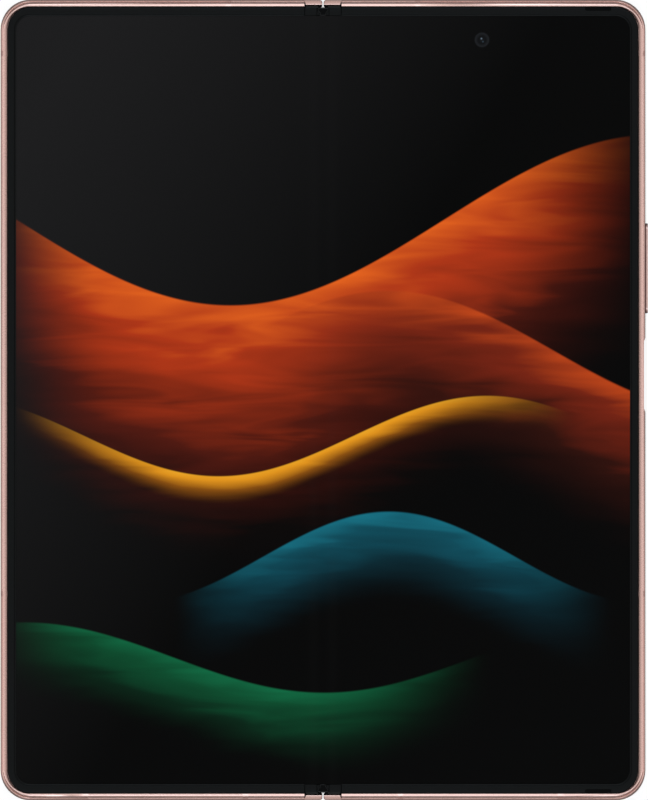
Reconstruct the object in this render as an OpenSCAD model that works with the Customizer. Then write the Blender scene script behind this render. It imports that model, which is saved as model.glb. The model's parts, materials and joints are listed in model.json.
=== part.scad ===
// Foldable phone, lying open on its back with the inner screen up.
// X runs across the hinge, Y along it and Z up. The origin is under the hinge's middle,
// level with the face of the camera island. Millimetres.

/* [Phone] */
// Width of one half, from the hinge's middle to its outer side
half_w = 64.1; // [62:0.1:70]
// Height of the phone, along the hinge
body_h = 159.2; // [154:0.1:170]
// Thickness from the back face to the face of the screen
body_t = 6; // [5.8:0.1:7]
// Gap between the two halves at the hinge
hinge_gap = 0.7; // [0.4:0.05:1.2]
// Height of the camera island over the back face
bump_t = 2; // [1.6:0.1:2.6]

/* [Frame] */
// Thickness of the frame's outer wall
wall_t = 1.4; // [1.25:0.05:1.7]
// Radius of the outer corners, seen from the front
corner_r = 6; // [5.4:0.1:7.5]
// Rounding of the frame's back edge
back_r = 1.1; // [0.6:0.05:1.15]
// Rounding of the frame's front edge
front_r = 0.4; // [0.25:0.05:0.45]
// Height of the frame's shoulder over the screen
shoulder_up = 0.35; // [0.2:0.05:0.5]
// Width of the raised bead
bead_w = 0.82; // [0.6:0.02:0.84]
// Distance of the bead from the outer face
bead_in = 0.52; // [0.48:0.02:0.54]
// Height of the bead over the screen
bead_up = 0.9; // [0.75:0.05:0.95]
// Rounding of the bead's top
bead_r = 0.28; // [0.15:0.01:0.29]
// Thickness of the plate that carries the screen side
mid_t = 0.6; // [0.5:0.05:0.7]
// Thickness of the lip under the hinge cover
lip_t = 0.6; // [0.5:0.05:0.7]
// Wall between the hinge's recess and the inside
recess_wall = 0.6; // [0.4:0.05:0.8]
// Where the bead and the bezel stop beside the hinge
bead_end = 3.7; // [3.6:0.05:4.2]
// Height of the low end pieces over the screen
end_up = 0.2; // [0:0.05:0.4]
// Rounding of each half's corner at the hinge, seen from the front
hinge_corner_r = 0.75; // [0.4:0.05:1.2]
// Width of an antenna band
band_w = 1.1; // [0.8:0.1:1.6]
// Distance of the upper side band from the top edge
band_upper = 10.7; // [10:0.1:12]
// Distance of the lower side band from the bottom edge
band_lower = 41.1; // [38:0.1:44]
// Place of the band on the top edge, from the hinge
band_top_x = 18.8; // [16:0.1:20]
// Place of the inner band on the bottom edge, from the hinge
band_bottom_in = 15.4; // [14:0.1:18]
// Distance of the outer band on the bottom edge from the outer side
band_bottom_out = 16.9; // [15:0.1:18]

/* [Screen] */
// Thickness of the folding screen
display_t = 0.4; // [0.3:0.05:0.5]
// Thickness of the steel plate behind the screen
plate_t = 0.2; // [0.15:0.05:0.25]
// Half the width of the zone that bends
flex_half = 3.77; // [3.6:0.01:4]
// Height of the bezel over the screen
bezel_up = 0.7; // [0.5:0.05:0.75]
// Height of the low bezel ends over the screen
bezel_end_up = 0.35; // [0.25:0.05:0.45]
// Width of the bezel along the sides
bezel_side = 1.65; // [1.4:0.05:2]
// Width of the bezel along the top and the bottom
bezel_end = 1.81; // [1.65:0.01:2.1]
// Radius of the screen's visible corners
screen_r = 2.9; // [2.4:0.1:3.4]
// How far the screen runs under the bezel at the sides
tuck_side = 0.6; // [0.3:0.05:0.8]
// Gap between the bezel and the bead
bezel_gap = 0.1; // [0.05:0.01:0.12]
// Length of a rubber pad in the bezel
pad_l = 5.2; // [3:0.1:7]
// Width of a rubber pad
pad_w = 0.8; // [0.5:0.05:1]
// Distance of the rubber pads' middle from the outer side
pad_side = 9.4; // [9:0.1:14]

/* [Hinge] */
// Distance of each turning axis from the middle
axis_x = 1.885; // [1.8:0.005:1.95]
// Height of the axes over the screen
axis_up = 0.515; // [0.48:0.005:0.56]
// Running gap between the hinge cover and the halves
cover_gap = 0.15; // [0.1:0.01:0.2]
// Thickness of the hinge cover
cover_t = 0.5; // [0.4:0.05:0.55]
// Drop of the cover's edges below the carrying plate
cover_drop = 0.2; // [0.15:0.05:0.4]
// Middle radius of the curved rails
rail_r = 3.5; // [3.4:0.05:3.6]
// Thickness of a rail
rail_t = 1; // [0.7:0.05:1]
// Width of a rail along the hinge
rail_w = 4; // [3:0.1:5]
// Distance of each rail bracket's middle from the end of the phone
bracket_end = 29.6; // [26:0.1:36]
// Running gap of the rails and the gears
run_gap = 0.05; // [0.04:0.01:0.07]
// Thickness of a bracket's cheeks
cheek_t = 1; // [0.8:0.1:1.4]
// Reach of the rotator plates into the half
rotator_in = 10; // [9.6:0.1:11]
// Length of the screwed tab on a rotator
tab_l = 3; // [2.6:0.1:3.4]
// Gear module, tooth pitch over pi
tooth_m = 0.25; // [0.24:0.005:0.255]
// Width of the mid row of gears
gear_w = 1.8; // [1.4:0.1:2.4]
// Radius of the gear shafts
shaft_r = 0.4; // [0.3:0.02:0.45]
// Width of each flexible circuit
flex_w = 12; // [8:0.5:14]
// Place of the flexible circuits along the hinge
flex_y = 24; // [20:0.5:30]

/* [Keys and tray] */
// Length of the volume key
volume_l = 17.9; // [15:0.1:20]
// Distance of the volume key's middle from the top edge
volume_top = 53.4; // [51:0.1:56]
// How far the volume key stands out
volume_out = 0.54; // [0.3:0.02:0.7]
// Length of the power key
power_l = 13.1; // [11:0.1:15]
// Distance from the volume key's middle to the power key's
power_drop = 21.2; // [19:0.1:24]
// Depth of the dip that the power key lies in
power_dip = 0.28; // [0.15:0.01:0.35]
// Height of both keys
key_h = 2.4; // [2:0.1:2.8]
// Gap round the keys and the tray's head
key_gap = 0.12; // [0.08:0.01:0.2]
// Travel of the keys
key_travel = 0.25; // [0.2:0.01:0.3]
// Distance of the card tray's middle from the top edge
tray_top = 35.6; // [33:0.1:38]
// Length of the card tray's carrier
tray_l = 19; // [17:0.5:21]
// Width of the card tray's carrier
carrier_w = 12.8; // [12.4:0.1:13]
// Width of the card tray's head
tray_w = 16; // [14:0.5:17]

/* [Cameras] */
// Width of the camera island
island_w = 16.4; // [15:0.1:17]
// Length of the camera island
island_l = 50; // [48:0.5:52]
// Distance of the island from the outer side
island_side = 3.6; // [3:0.1:5]
// Distance of the island from the top edge
island_top = 5; // [4:0.1:6]
// Distance from lens to lens
lens_pitch = 13; // [12:0.1:13.5]
// Radius of a lens ring
lens_r = 5.2; // [4.4:0.1:5.6]
// Radius of the flash
flash_r = 1.85; // [1.6:0.05:2]
// Widths of the blocks of the ultra-wide, wide and telephoto camera
camera_w = [9.6, 11.4, 9.8];
// Radius of the camera under the screen
front_cam_r = 2; // [1.6:0.1:2.2]
// Distance of the camera under the screen from the outer side
front_cam_side = 32.5; // [30:0.1:36]
// Distance of the camera under the screen from the top edge
front_cam_top = 8; // [7.2:0.1:9]

/* [Inside] */
// Thickness of the back glass
glass_t = 0.6; // [0.5:0.05:0.7]
// Thickness of the outer display module
cover_display_t = 1.1; // [0.9:0.1:1.3]
// Thickness of the main battery
battery_t = 3.5; // [3:0.1:3.7]
// Thickness of the second battery
battery2_t = 2.4; // [2:0.1:2.6]
// Length of the main board, along the hinge
board_l = 54.5; // [52:0.5:60]
// Length of the lower board, along the hinge
sub_l = 18.5; // [15:0.5:22]
// Thickness of the circuit boards
board_t = 0.7; // [0.5:0.05:0.9]
// Height of the bosses that carry the boards
boss_h = 1.4; // [1.2:0.1:1.5]
// Width of the charging socket's shell
port_w = 8.94; // [8.9:0.02:9]
// Height of the charging socket's shell
port_h = 3.16; // [3.1:0.02:3.2]
// Depth of the charging socket
port_l = 7.3; // [6.8:0.1:7.6]
// Width of the tongue in the charging socket
tongue_w = 6.7; // [6.6:0.02:6.75]
// Thickness of that tongue
tongue_t = 0.7; // [0.65:0.01:0.7]
// Outer and inner radius of the wireless coil
coil_r = [18, 8];
// Thickness of the wireless coil
coil_t = 0.2; // [0.15:0.05:0.3]
// Length of a magnet, along the hinge
magnet_l = 8; // [6:0.5:10]
// Width of a magnet
magnet_w = 1.55; // [1.2:0.05:1.8]
// Height of a magnet
magnet_h = 3; // [2:0.1:3.4]
// Distance between the two magnets of a half
magnet_pitch = 35; // [20:1:36]
// Width of the vibration motor
motor_w = 8.5; // [7:0.1:9]
// Thickness of the vibration motor
motor_t = 3.2; // [2.6:0.1:3.4]
// Width of each speaker
speaker_w = 26; // [22:0.5:27]
// Length of each speaker, along the hinge
speaker_l = 12; // [10:0.5:13]

/* [Hidden] */
$fn = 48;
fit = 0.05;
half_h = body_h / 2;
half_gap = hinge_gap / 2;
z_back = bump_t;
z_screen = z_back + body_t;
z_display = z_screen - display_t;
z_plate = z_display - plate_t;
z_mid = z_plate - mid_t;
z_glass = z_back + glass_t;
z_shoulder = z_screen + shoulder_up;
z_bead = z_screen + bead_up;
z_bezel = z_screen + bezel_up;
axis_z = z_screen + axis_up;
z_key = z_back + (z_shoulder - z_back) / 2;
recess_r = axis_z - z_back - lip_t;
cover_r = recess_r - cover_gap;
trough_r = cover_r - cover_t;
z_cover = z_mid - cover_drop;
cover_h = half_h - wall_t - 0.1;
bracket_up = 0.2;
z_bracket = z_plate - bracket_up;
// How far the carrying plate and the hinge's wall run into the frame's wall
plate_in = wall_t - 0.2;
wall_in = half_w - wall_t;
band_side_y = [half_h - band_upper, band_lower - half_h];
band_bottom_x = [band_bottom_in, half_w - band_bottom_out];
pad_x = half_w - pad_side;
volume_y = half_h - volume_top;
power_y = volume_y - power_drop;
tray_y = half_h - tray_top;
bracket_y = [bracket_end - half_h, half_h - bracket_end];
island_x = half_w - island_side - island_w / 2;
island_y = half_h - island_top - island_l / 2;
front_cam_x = half_w - front_cam_side;
front_cam_y = half_h - front_cam_top;
port_x = half_w / 2;
port_back = port_l - half_h;
back_x = axis_x + 3;
recess_x = axis_x + recess_r;
inner_x = recess_x + recess_wall + 0.5;
bezel_out = bead_in + bead_w + bezel_gap;
window_side = bezel_out + bezel_side;
window_end = bezel_out + bezel_end;
display_side = window_side - tuck_side;
display_end = window_end - fit;
bezel_stub_x = axis_x - 0.685;
cap_y = half_h - window_end + 0.1;
cap_neck = 0.6;
cap_foot = 1.05;
rail_in = rail_r - rail_t / 2;
rail_out = rail_r + rail_t / 2;
rail_stop = asin((axis_z - z_plate) / rail_in);
rail_y = rail_w / 2 + cheek_t / 2;
bracket_l = 2 * rail_w + 3 * cheek_t;
ring_teeth = 32;
pinion_teeth = 8;
idler_teeth = 9;
ring_r = tooth_m * ring_teeth / 2;
pinion_r = tooth_m * pinion_teeth / 2;
idler_r = tooth_m * idler_teeth / 2;
tooth_up = 0.8 * tooth_m;
tooth_down = 1.05 * tooth_m;
tooth_thin = 0.2 * tooth_m;
tooth_slope = tan(20);
ring_rim = ring_r + tooth_down + 0.34;
pinion_x = 2 * idler_r + pinion_r;
pinion_dx = pinion_x - axis_x;
gear_z = axis_z - sqrt(pow(ring_r - pinion_r, 2) - pow(pinion_dx, 2));
ring_stop = asin((axis_z - z_plate) / (ring_r - tooth_up));
gear_gap = 0.2;
// Each gear's teeth are turned so that they fall between its neighbour's
mesh_right = atan2(gear_z - axis_z, pinion_dx);
pinion_step = 360 / pinion_teeth;
idler_step = 360 / idler_teeth;
ring_step = 360 / ring_teeth;
turn_ring_right = mesh_right;
turn_pinion_right = mesh_right + pinion_step / 2;
turn_idler_right = -((turn_pinion_right - 180) / pinion_step + 0.5) * idler_step;
turn_idler_left = -((turn_idler_right - 180) / idler_step + 0.5) * idler_step;
turn_pinion_left = -((turn_idler_left - 180) / idler_step + 0.5) * pinion_step;
mesh_left = 180 - mesh_right;
turn_ring_left = mesh_left + ((turn_pinion_left - mesh_left) / pinion_step - 0.5) * ring_step;
screw_r = 0.6;
head_r = 1.1;
head_h = 0.35;
tab_screw_r = 0.5;
tab_t = mid_t / 2;
tab_x = rotator_in + tab_l / 2;
z_board = z_mid - boss_h - board_t;
lens_y = [for (k = [0 : 2]) island_y + island_l / 2 - island_w / 2 - k * lens_pitch];
flash_y = (lens_y[2] - lens_r + island_y - island_l / 2) / 2;
z_flash = z_back - 0.4;
z_battery = z_mid - head_h - fit;
speaker_x = half_w / 2;
grille_n = 6;
grille_pitch = 2.2;
board_in = inner_x + 0.4;
board_out = island_x - island_w / 2 - 0.8;
board_end = half_h - wall_t - 0.7;
board_y = board_end - board_l;
sub_y = sub_l - board_end;
screw_edge = 3;
flex_side = flex_y + flex_w / 2;
screw_in = board_in + screw_edge;
screw_xs = [screw_in, board_out - screw_edge];
main_screws = [for (x = screw_xs, y = [flex_side + screw_edge, board_end - screw_edge]) [x, y]];
sub_out = port_x + port_w / 2 + 11.5;
sub_screws = [
    [screw_in, screw_edge - board_end], [screw_in, sub_y - screw_edge],
    [sub_out - screw_edge, sub_y - screw_edge]
];
left_board_y = [flex_side, half_h - wall_t - speaker_l - 2];
left_board_out = half_w - tray_l - 4;
left_screw_at = [
    for (x = [screw_in, left_board_out - screw_edge],
         y = [left_board_y[0] + screw_edge, left_board_y[1] - screw_edge]) [x, y]
];
battery_gap = 2;
row = gear_w / 2;
row_out = 1.5 * gear_w + gear_gap;
shaft_end = row_out + 0.1 + cheek_t;
flex_t = 0.12;
flex_drop = 1.2;
flex_zone = 5.5;
flex_end = inner_x + 5;
flex_xs = [for (k = [-6 : 6]) flex_zone * k / 6];
flange_t = 0.5;
flange_x = wall_in - key_travel;
dome_gap = 0.3;
flex_plate_x = flange_x - flange_t - dome_gap - 0.6;
tray_t = 0.8;
tray_in = half_w - fit;

metal = "#d9ada3";
band_grey = "#b08e86";
black = "#17191a";
bronze = "#c9a596";
steel = "#b9bcc0";
board_green = "#1e4a38";
battery_grey = "#4a4d52";

// ---- Plain building blocks ----

module slab(z0, z1) {
    translate([0, 0, z0]) linear_extrude(z1 - z0) children();
}

// A section drawn in X and Z, carried along Y
module along_y(y0, y1) {
    translate([0, y1, 0]) rotate([90, 0, 0]) linear_extrude(y1 - y0) children();
}

module both_ends() {
    children();
    mirror([0, 1, 0]) children();
}

module left() {
    mirror([1, 0, 0]) children();
}

module box(x0, x1, y0, y1, z0, z1) {
    translate([x0, y0, z0]) cube([x1 - x0, y1 - y0, z1 - z0]);
}

module round_box(x0, x1, y0, y1, r) {
    translate([x0 + r, y0]) square([x1 - x0 - 2 * r, y1 - y0]);
    translate([x0, y0 + r]) square([x1 - x0, y1 - y0 - 2 * r]);
    for (x = [x0 + r, x1 - r], y = [y0 + r, y1 - r]) translate([x, y]) circle(r);
}

// Plan of the right half: square at the hinge side, rounded at the outer corners
module half_plan(x0, side_in, end_in, r) {
    x1 = half_w - side_in;
    y1 = half_h - end_in;
    translate([x0, -y1]) square([x1 - r - x0, 2 * y1]);
    translate([x0, r - y1]) square([x1 - x0, 2 * (y1 - r)]);
    for (s = [-1, 1]) translate([x1 - r, s * (y1 - r)]) circle(r);
}

module slot_plan(l, h) {
    square([l - h, h], center = true);
    for (s = [-1, 1]) translate([s * (l - h) / 2, 0]) circle(h / 2);
}

// ---- Frame ----

// Section of the frame's wall: X inwards from the outer face, Y up
module wall_section(top) {
    intersection() {
        translate([0, z_back]) square([wall_t, top - z_back]);
        union() {
            translate([back_r, z_back + back_r]) circle(back_r);
            translate([back_r, z_back]) square([wall_t, back_r]);
            translate([0, z_back + back_r]) square([wall_t, top - front_r - z_back - back_r]);
            translate([front_r, top - front_r]) circle(front_r);
            translate([front_r, top - front_r]) square([wall_t, front_r]);
        }
    }
}

module bead_section() {
    translate([bead_in, z_shoulder]) square([bead_w, z_bead - bead_r - z_shoulder]);
    translate([bead_in + bead_r, z_bead - 2 * bead_r]) square([bead_w - 2 * bead_r, 2 * bead_r]);
    for (u = [bead_in + bead_r, bead_in + bead_w - bead_r]) {
        translate([u, z_bead - bead_r]) circle(bead_r);
    }
}

module rim_section() {
    difference() {
        wall_section(z_shoulder);
        translate([bead_in - 0.1, z_shoulder - 0.14]) square([0.1, 0.2]);
    }
    bead_section();
}

module side_length(l) {
    translate([half_w, 0, 0]) rotate([90, 0, 0]) mirror([1, 0, 0]) linear_extrude(l, center = true) {
        children();
    }
}

module end_length(x0, x1) {
    translate([x0, half_h, 0]) rotate([90, 0, 90]) mirror([1, 0, 0]) linear_extrude(x1 - x0) children();
}

module rim() {
    side_length(body_h - 2 * corner_r) rim_section();
    both_ends() {
        end_length(bead_end, half_w - corner_r) rim_section();
        translate([half_w - corner_r, half_h - corner_r, 0]) rotate_extrude(angle = 90) {
            translate([corner_r, 0]) mirror([1, 0]) rim_section();
        }
    }
}

// The low wall beside the hinge, with its corner rounded in plan
module end_piece() {
    difference() {
        end_length(half_gap, bead_end) wall_section(z_screen + end_up);
        translate([half_gap, half_h - hinge_corner_r, z_back - 1]) difference() {
            translate([-1, 0, 0]) cube([1 + hinge_corner_r, 1 + hinge_corner_r, body_t + 3]);
            translate([hinge_corner_r, 0, -1]) cylinder(r = hinge_corner_r, h = body_t + 5);
        }
    }
}

// The recess that the hinge cover turns in, as a section
module recess_section(r) {
    translate([axis_x, axis_z]) circle(r, $fn = 96);
    translate([-1, axis_z - r]) square([axis_x + 1, r]);
}

module hinge_wall() {
    along_y(plate_in - half_h, half_h - plate_in) difference() {
        intersection() {
            union() {
                translate([axis_x, axis_z]) circle(recess_r + recess_wall, $fn = 96);
                translate([half_gap, z_back]) square([axis_x - half_gap + 2.6, lip_t]);
            }
            translate([half_gap, z_back]) square([recess_x + recess_wall, z_plate - z_back]);
        }
        recess_section(recess_r);
    }
}

module mid_plate() {
    difference() {
        slab(z_mid, z_plate) half_plan(recess_x - 0.6, plate_in, plate_in, corner_r - plate_in);
        along_y(-half_h, half_h) recess_section(recess_r);
    }
}

module bosses(places) {
    for (p = places) translate([p.x, p.y, z_mid - boss_h]) cylinder(r = 1.5, h = boss_h);
}

module boss_bores(places) {
    for (p = places) translate([p.x, p.y, z_mid - boss_h - 0.1]) {
        cylinder(r = screw_r + 0.02, h = boss_h + 0.3);
    }
}

module band_slots() {
    for (y = band_side_y) box(wall_in, half_w + 1, y - band_w / 2, y + band_w / 2, z_back - 1, z_bead + 1);
    box(band_top_x - band_w / 2, band_top_x + band_w / 2, half_h - wall_t, half_h + 1,
        z_back - 1, z_bead + 1);
    for (x = band_bottom_x) {
        box(x - band_w / 2, x + band_w / 2, -half_h - 1, wall_t - half_h, z_back - 1, z_bead + 1);
    }
}

module bands() {
    for (y = band_side_y) translate([0, y, 0]) side_length(band_w) rim_section();
    end_length(band_top_x - band_w / 2, band_top_x + band_w / 2) rim_section();
    mirror([0, 1, 0]) for (x = band_bottom_x) {
        end_length(x - band_w / 2, x + band_w / 2) rim_section();
    }
}

// Room in the carrying plate for one rotator plate and its screwed tab
module rotator_notch(y, w) {
    y0 = y - w / 2 - fit;
    y1 = y + w / 2 + fit;
    box(recess_x - 1.5, rotator_in + fit, y0, y1, z_mid - 0.7, z_plate + 1);
    box(rotator_in, rotator_in + tab_l + fit, y0, y1, z_plate - tab_t, z_plate + 1);
    translate([tab_x, y, z_mid - 1]) cylinder(r = tab_screw_r + 0.02, h = mid_t + 2);
}

module rotator_notches(side) {
    for (y = bracket_y) rotator_notch(y + side * rail_y, rail_w);
    rotator_notch(side * (gear_w + gear_gap), gear_w);
}

module flex_notches() {
    for (s = [-1, 1]) {
        box(recess_x - 2, inner_x + 1, s * flex_y - flex_w / 2 - 0.3, s * flex_y + flex_w / 2 + 0.3,
            z_mid - 0.3, z_mid);
    }
}

module frame_blank(side) {
    difference() {
        union() {
            rim();
            both_ends() end_piece();
            hinge_wall();
            mid_plate();
        }
        band_slots();
        rotator_notches(side);
        flex_notches();
    }
}

module key_slot(y, l) {
    translate([half_w, y, z_key]) rotate([0, 90, 0]) rotate([0, 0, 90]) {
        translate([0, 0, -wall_t - 1]) linear_extrude(wall_t + 2) {
            slot_plan(l + 2 * key_gap, key_h + 2 * key_gap);
        }
    }
}

module port_hole(grow, y0, y1) {
    translate([port_x, y1, z_key]) rotate([90, 0, 0]) linear_extrude(y1 - y0) {
        slot_plan(port_w + 2 * grow, port_h + 2 * grow);
    }
}

module front_cam_hole(z0, z1) {
    translate([front_cam_x, front_cam_y, z0]) cylinder(r = front_cam_r + 0.1, h = z1 - z0);
}

module power_dish() {
    l = power_l + 2 * key_gap;
    translate([half_w, power_y, z_back - 1]) linear_extrude(z_bead + 2 - z_back) {
        polygon([[-power_dip, -l / 2], [-power_dip, l / 2], [0, l / 2 + 0.7], [1, l / 2 + 0.7],
                 [1, -l / 2 - 0.7], [0, -l / 2 - 0.7]]);
    }
}

module right_frame() {
    color(metal) difference() {
        union() {
            frame_blank(1);
            bosses(main_screws);
            bosses(sub_screws);
        }
        boss_bores(main_screws);
        boss_bores(sub_screws);
        key_slot(volume_y, volume_l);
        key_slot(power_y, power_l);
        power_dish();
        port_hole(fit, -half_h - 1, wall_t - half_h + 1);
        front_cam_hole(z_mid - 1, z_plate + 1);
        for (x = [port_x - 9, port_x + 9]) {
            translate([x, 0, z_key]) rotate([90, 0, 0]) cylinder(r = 0.5, h = half_h + 1);
        }
        translate([38, half_h + 1, z_key]) rotate([90, 0, 0]) cylinder(r = 0.4, h = wall_t + 2);
    }
}

module grille_holes() {
    both_ends() for (k = [0 : grille_n - 1]) {
        translate([speaker_x + (k - (grille_n - 1) / 2) * grille_pitch, half_h + 1, z_key]) {
            rotate([90, 0, 0]) linear_extrude(wall_t + 2) slot_plan(1.6, 1);
        }
    }
}

module tray_slot(grow) {
    translate([half_w - wall_t - 1, tray_y, z_key]) rotate([0, 90, 0]) rotate([0, 0, 90]) {
        linear_extrude(wall_t + 2) slot_plan(tray_w + 2 * grow, 2 + 2 * grow);
    }
}

module left_frame() {
    color(metal) left() difference() {
        union() {
            frame_blank(-1);
            bosses(left_screw_at);
        }
        boss_bores(left_screw_at);
        grille_holes();
        tray_slot(key_gap);
    }
}

module right_antenna_bands() {
    color(band_grey) bands();
}

module left_antenna_bands() {
    color(band_grey) left() bands();
}

// ---- Bezel and screen ----

module bezel() {
    difference() {
        union() {
            slab(z_screen, z_bezel) half_plan(bead_end, bezel_out, bezel_out, corner_r - bezel_out);
            slab(z_plate, z_screen) half_plan(bead_end + 0.15, bezel_out, bezel_out, corner_r - bezel_out);
        }
        slab(z_screen - 0.01, z_bezel + 1) half_plan(0, window_side, window_end, screen_r);
        slab(z_plate - 1, z_screen) {
            half_plan(0, display_side - fit, display_end - fit, screen_r + tuck_side + fit);
        }
    }
    // Low ends beside the hinge, and the thin tongue that joins each to the bezel
    both_ends() {
        slab(z_screen, z_screen + bezel_end_up) {
            round_box(bezel_stub_x, bead_end - 0.12, half_h - window_end + 0.08,
                      half_h - bezel_out - 0.1, 0.3);
        }
        box(bead_end - 0.4, bead_end + 0.3, half_h - window_end + 0.4, half_h - bezel_out - 0.4,
            z_screen, z_screen + 0.15);
    }
}

module pads(grow) {
    both_ends() slab(z_screen + 0.3 - grow, z_bezel + 0.2 + grow) {
        round_box(pad_x - pad_l / 2 - grow, pad_x + pad_l / 2 + grow, half_h - bezel_out - pad_w - grow,
                  half_h - bezel_out + grow, pad_w / 4);
    }
}

module right_bezel() {
    color(black) difference() {
        bezel();
        pads(0.02);
    }
}

module bezel_pads() {
    color("#0a0a0a") pads(0);
}

module left_bezel() {
    color(black) left() bezel();
}

module display_half() {
    half_plan(flex_half, display_side, display_end, screen_r + tuck_side);
}

module display_right() {
    color("#0b0b0c") slab(z_display, z_screen) display_half();
}

module display_left() {
    color("#0b0b0c") left() slab(z_display, z_screen) display_half();
}

module display_plate_right() {
    color(steel) difference() {
        slab(z_plate, z_display) display_half();
        front_cam_hole(z_plate - 1, z_display + 1);
    }
}

module display_plate_left() {
    color(steel) left() slab(z_plate, z_display) display_half();
}

module display_fold() {
    y1 = half_h - display_end;
    color("#0b0b0c") box(-flex_half, flex_half, -y1, y1, z_display, z_screen);
}

// ---- Hinge ----

module trough_section(r) {
    for (s = [-1, 1]) translate([s * axis_x, axis_z]) circle(r, $fn = 96);
    translate([-axis_x, axis_z - r]) square([2 * axis_x, r]);
}

module below(z) {
    intersection() {
        children();
        translate([-20, z_back - 5]) square([40, z - z_back + 5]);
    }
}

module hinge_cover() {
    color(metal) along_y(-cover_h, cover_h) difference() {
        below(z_cover) trough_section(cover_r);
        trough_section(trough_r);
    }
}

// Ring about the right-hand axis
module ring(r0, r1, y0, y1) {
    translate([axis_x, y1, axis_z]) rotate([90, 0, 0]) difference() {
        cylinder(r = r1, h = y1 - y0, $fn = 96);
        translate([0, 0, -1]) cylinder(r = r0, h = y1 - y0 + 2, $fn = 96);
    }
}

module rail_pocket(y) {
    y0 = y - rail_w / 2 - run_gap;
    y1 = y + rail_w / 2 + run_gap;
    ring(rail_in - run_gap, rail_out + run_gap, y0, y1);
    box(axis_x + rail_in - 0.6, recess_x, y0, y1, z_mid - 0.1, z_bracket + 1);
}

module rail_bracket(y) {
    difference() {
        along_y(y - bracket_l / 2, y + bracket_l / 2) below(z_bracket) trough_section(trough_r - 0.02);
        rail_pocket(y + rail_y);
        left() rail_pocket(y - rail_y);
    }
}

module cheek(y0) {
    along_y(y0, y0 + cheek_t) difference() {
        below(z_bracket) trough_section(trough_r - 0.02);
        for (x = [-pinion_x, -idler_r, idler_r, pinion_x]) {
            translate([x, gear_z]) circle(shaft_r + 0.03);
        }
    }
}

module gear_housing() {
    reach = 1.5 * gear_w + gear_gap + 0.1;
    cheek(-reach - cheek_t);
    cheek(reach);
    along_y(-reach - cheek_t, reach + cheek_t) {
        below(axis_z - ring_rim - run_gap) trough_section(trough_r - 0.02);
    }
}

module hinge_brackets() {
    color(steel) union() {
        for (y = bracket_y) rail_bracket(y);
        gear_housing();
    }
}

module hinge_end_caps() {
    color(black) both_ends() {
        along_y(cap_y - 2.4, cover_h) below(z_bracket) trough_section(trough_r - 0.02);
        slab(z_bracket - 0.1, z_screen + 0.45) for (s = [-1, 1]) {
            polygon([[0, cap_y], [s * cap_neck, cap_y], [s * cap_neck, cap_y + 0.5],
                     [s * cap_foot, cap_y + 1], [s * cap_foot, cap_y + 1.45], [0, cap_y + 1.45]]);
        }
    }
}

// One rotator: a curved arm about the right-hand axis, its plate and its screwed tab
module rotator_plate(y, w) {
    difference() {
        union() {
            box(axis_x + rail_in - 0.3, rotator_in, y - w / 2, y + w / 2, z_mid, z_plate);
            box(rotator_in - 0.1, rotator_in + tab_l, y - w / 2, y + w / 2, z_plate - tab_t, z_plate);
        }
        translate([tab_x, y, z_plate - tab_t - 0.1]) cylinder(r = tab_screw_r + 0.02, h = tab_t + 0.2);
        translate([axis_x, y + w, axis_z]) rotate([90, 0, 0]) cylinder(r = rail_in, h = 2 * w, $fn = 96);
    }
}

module arm_sector(stop) {
    far = 3 * ring_rim;
    polygon([[0, 0], [far, z_plate - axis_z], [far, -far], [-far, -far],
             [-far * cos(stop), -far * sin(stop)]]);
}

module rail(y) {
    translate([axis_x, y + rail_w / 2, axis_z]) rotate([90, 0, 0]) linear_extrude(rail_w) intersection() {
        difference() {
            circle(rail_out, $fn = 96);
            circle(rail_in, $fn = 96);
        }
        arm_sector(rail_stop);
        translate([-20, -20]) square([40, 20 + z_plate - axis_z]);
    }
    rotator_plate(y, rail_w);
}

module right_rotators() {
    color(steel) for (y = bracket_y) rail(y + rail_y);
}

module left_rotators() {
    color(steel) left() for (y = bracket_y) rail(y - rail_y);
}

// Outline of a toothed wheel: radius r, half tooth width at r, tooth height above and below r
function tooth_points(n, r, turn, half, up, down) = [
    for (k = [0 : n - 1], c = [[-1, -down], [-1, up], [1, up], [1, -down]])
        let (a = turn + k * 360 / n + c.x * (half - c.y * tooth_slope) / (r + c.y) * 180 / PI)
        [(r + c.y) * cos(a), (r + c.y) * sin(a)]
];

module sector(side, y, turn) {
    translate([axis_x, y + gear_w / 2, axis_z]) rotate([90, 0, 0]) linear_extrude(gear_w) intersection() {
        difference() {
            circle(ring_rim, $fn = 96);
            polygon(tooth_points(ring_teeth, ring_r, turn + ring_step / 2,
                                 PI * tooth_m / 4 + tooth_thin, tooth_down, tooth_up));
        }
        arm_sector(ring_stop);
        translate([-20, -20]) square([40, 20 + z_plate - axis_z]);
    }
    difference() {
        rotator_plate(y, gear_w);
        translate([axis_x, y + gear_w, axis_z]) rotate([90, 0, 0]) {
            cylinder(r = ring_r + tooth_down + 0.05, h = 2 * gear_w, $fn = 96);
        }
    }
}

module right_gear_sector() {
    color(steel) sector(1, gear_w + gear_gap, turn_ring_right);
}

module left_gear_sector() {
    color(steel) left() sector(-1, -gear_w - gear_gap, 180 - turn_ring_left);
}

module gear(x, n, turn, y0, y1, shaft0, shaft1) {
    half_tooth = PI * tooth_m / 4 - tooth_thin;
    along_y(y0, y1) translate([x, gear_z]) {
        polygon(tooth_points(n, tooth_m * n / 2, turn, half_tooth, tooth_up, tooth_down));
    }
    along_y(shaft0, shaft1) translate([x, gear_z]) circle(shaft_r);
}

module right_pinion() {
    color("#c8a860") gear(pinion_x, pinion_teeth, turn_pinion_right, -row, row_out, -shaft_end, shaft_end);
}

module right_idler() {
    color("#c8a860") gear(idler_r, idler_teeth, turn_idler_right, -row, row, -row, shaft_end);
}

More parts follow.
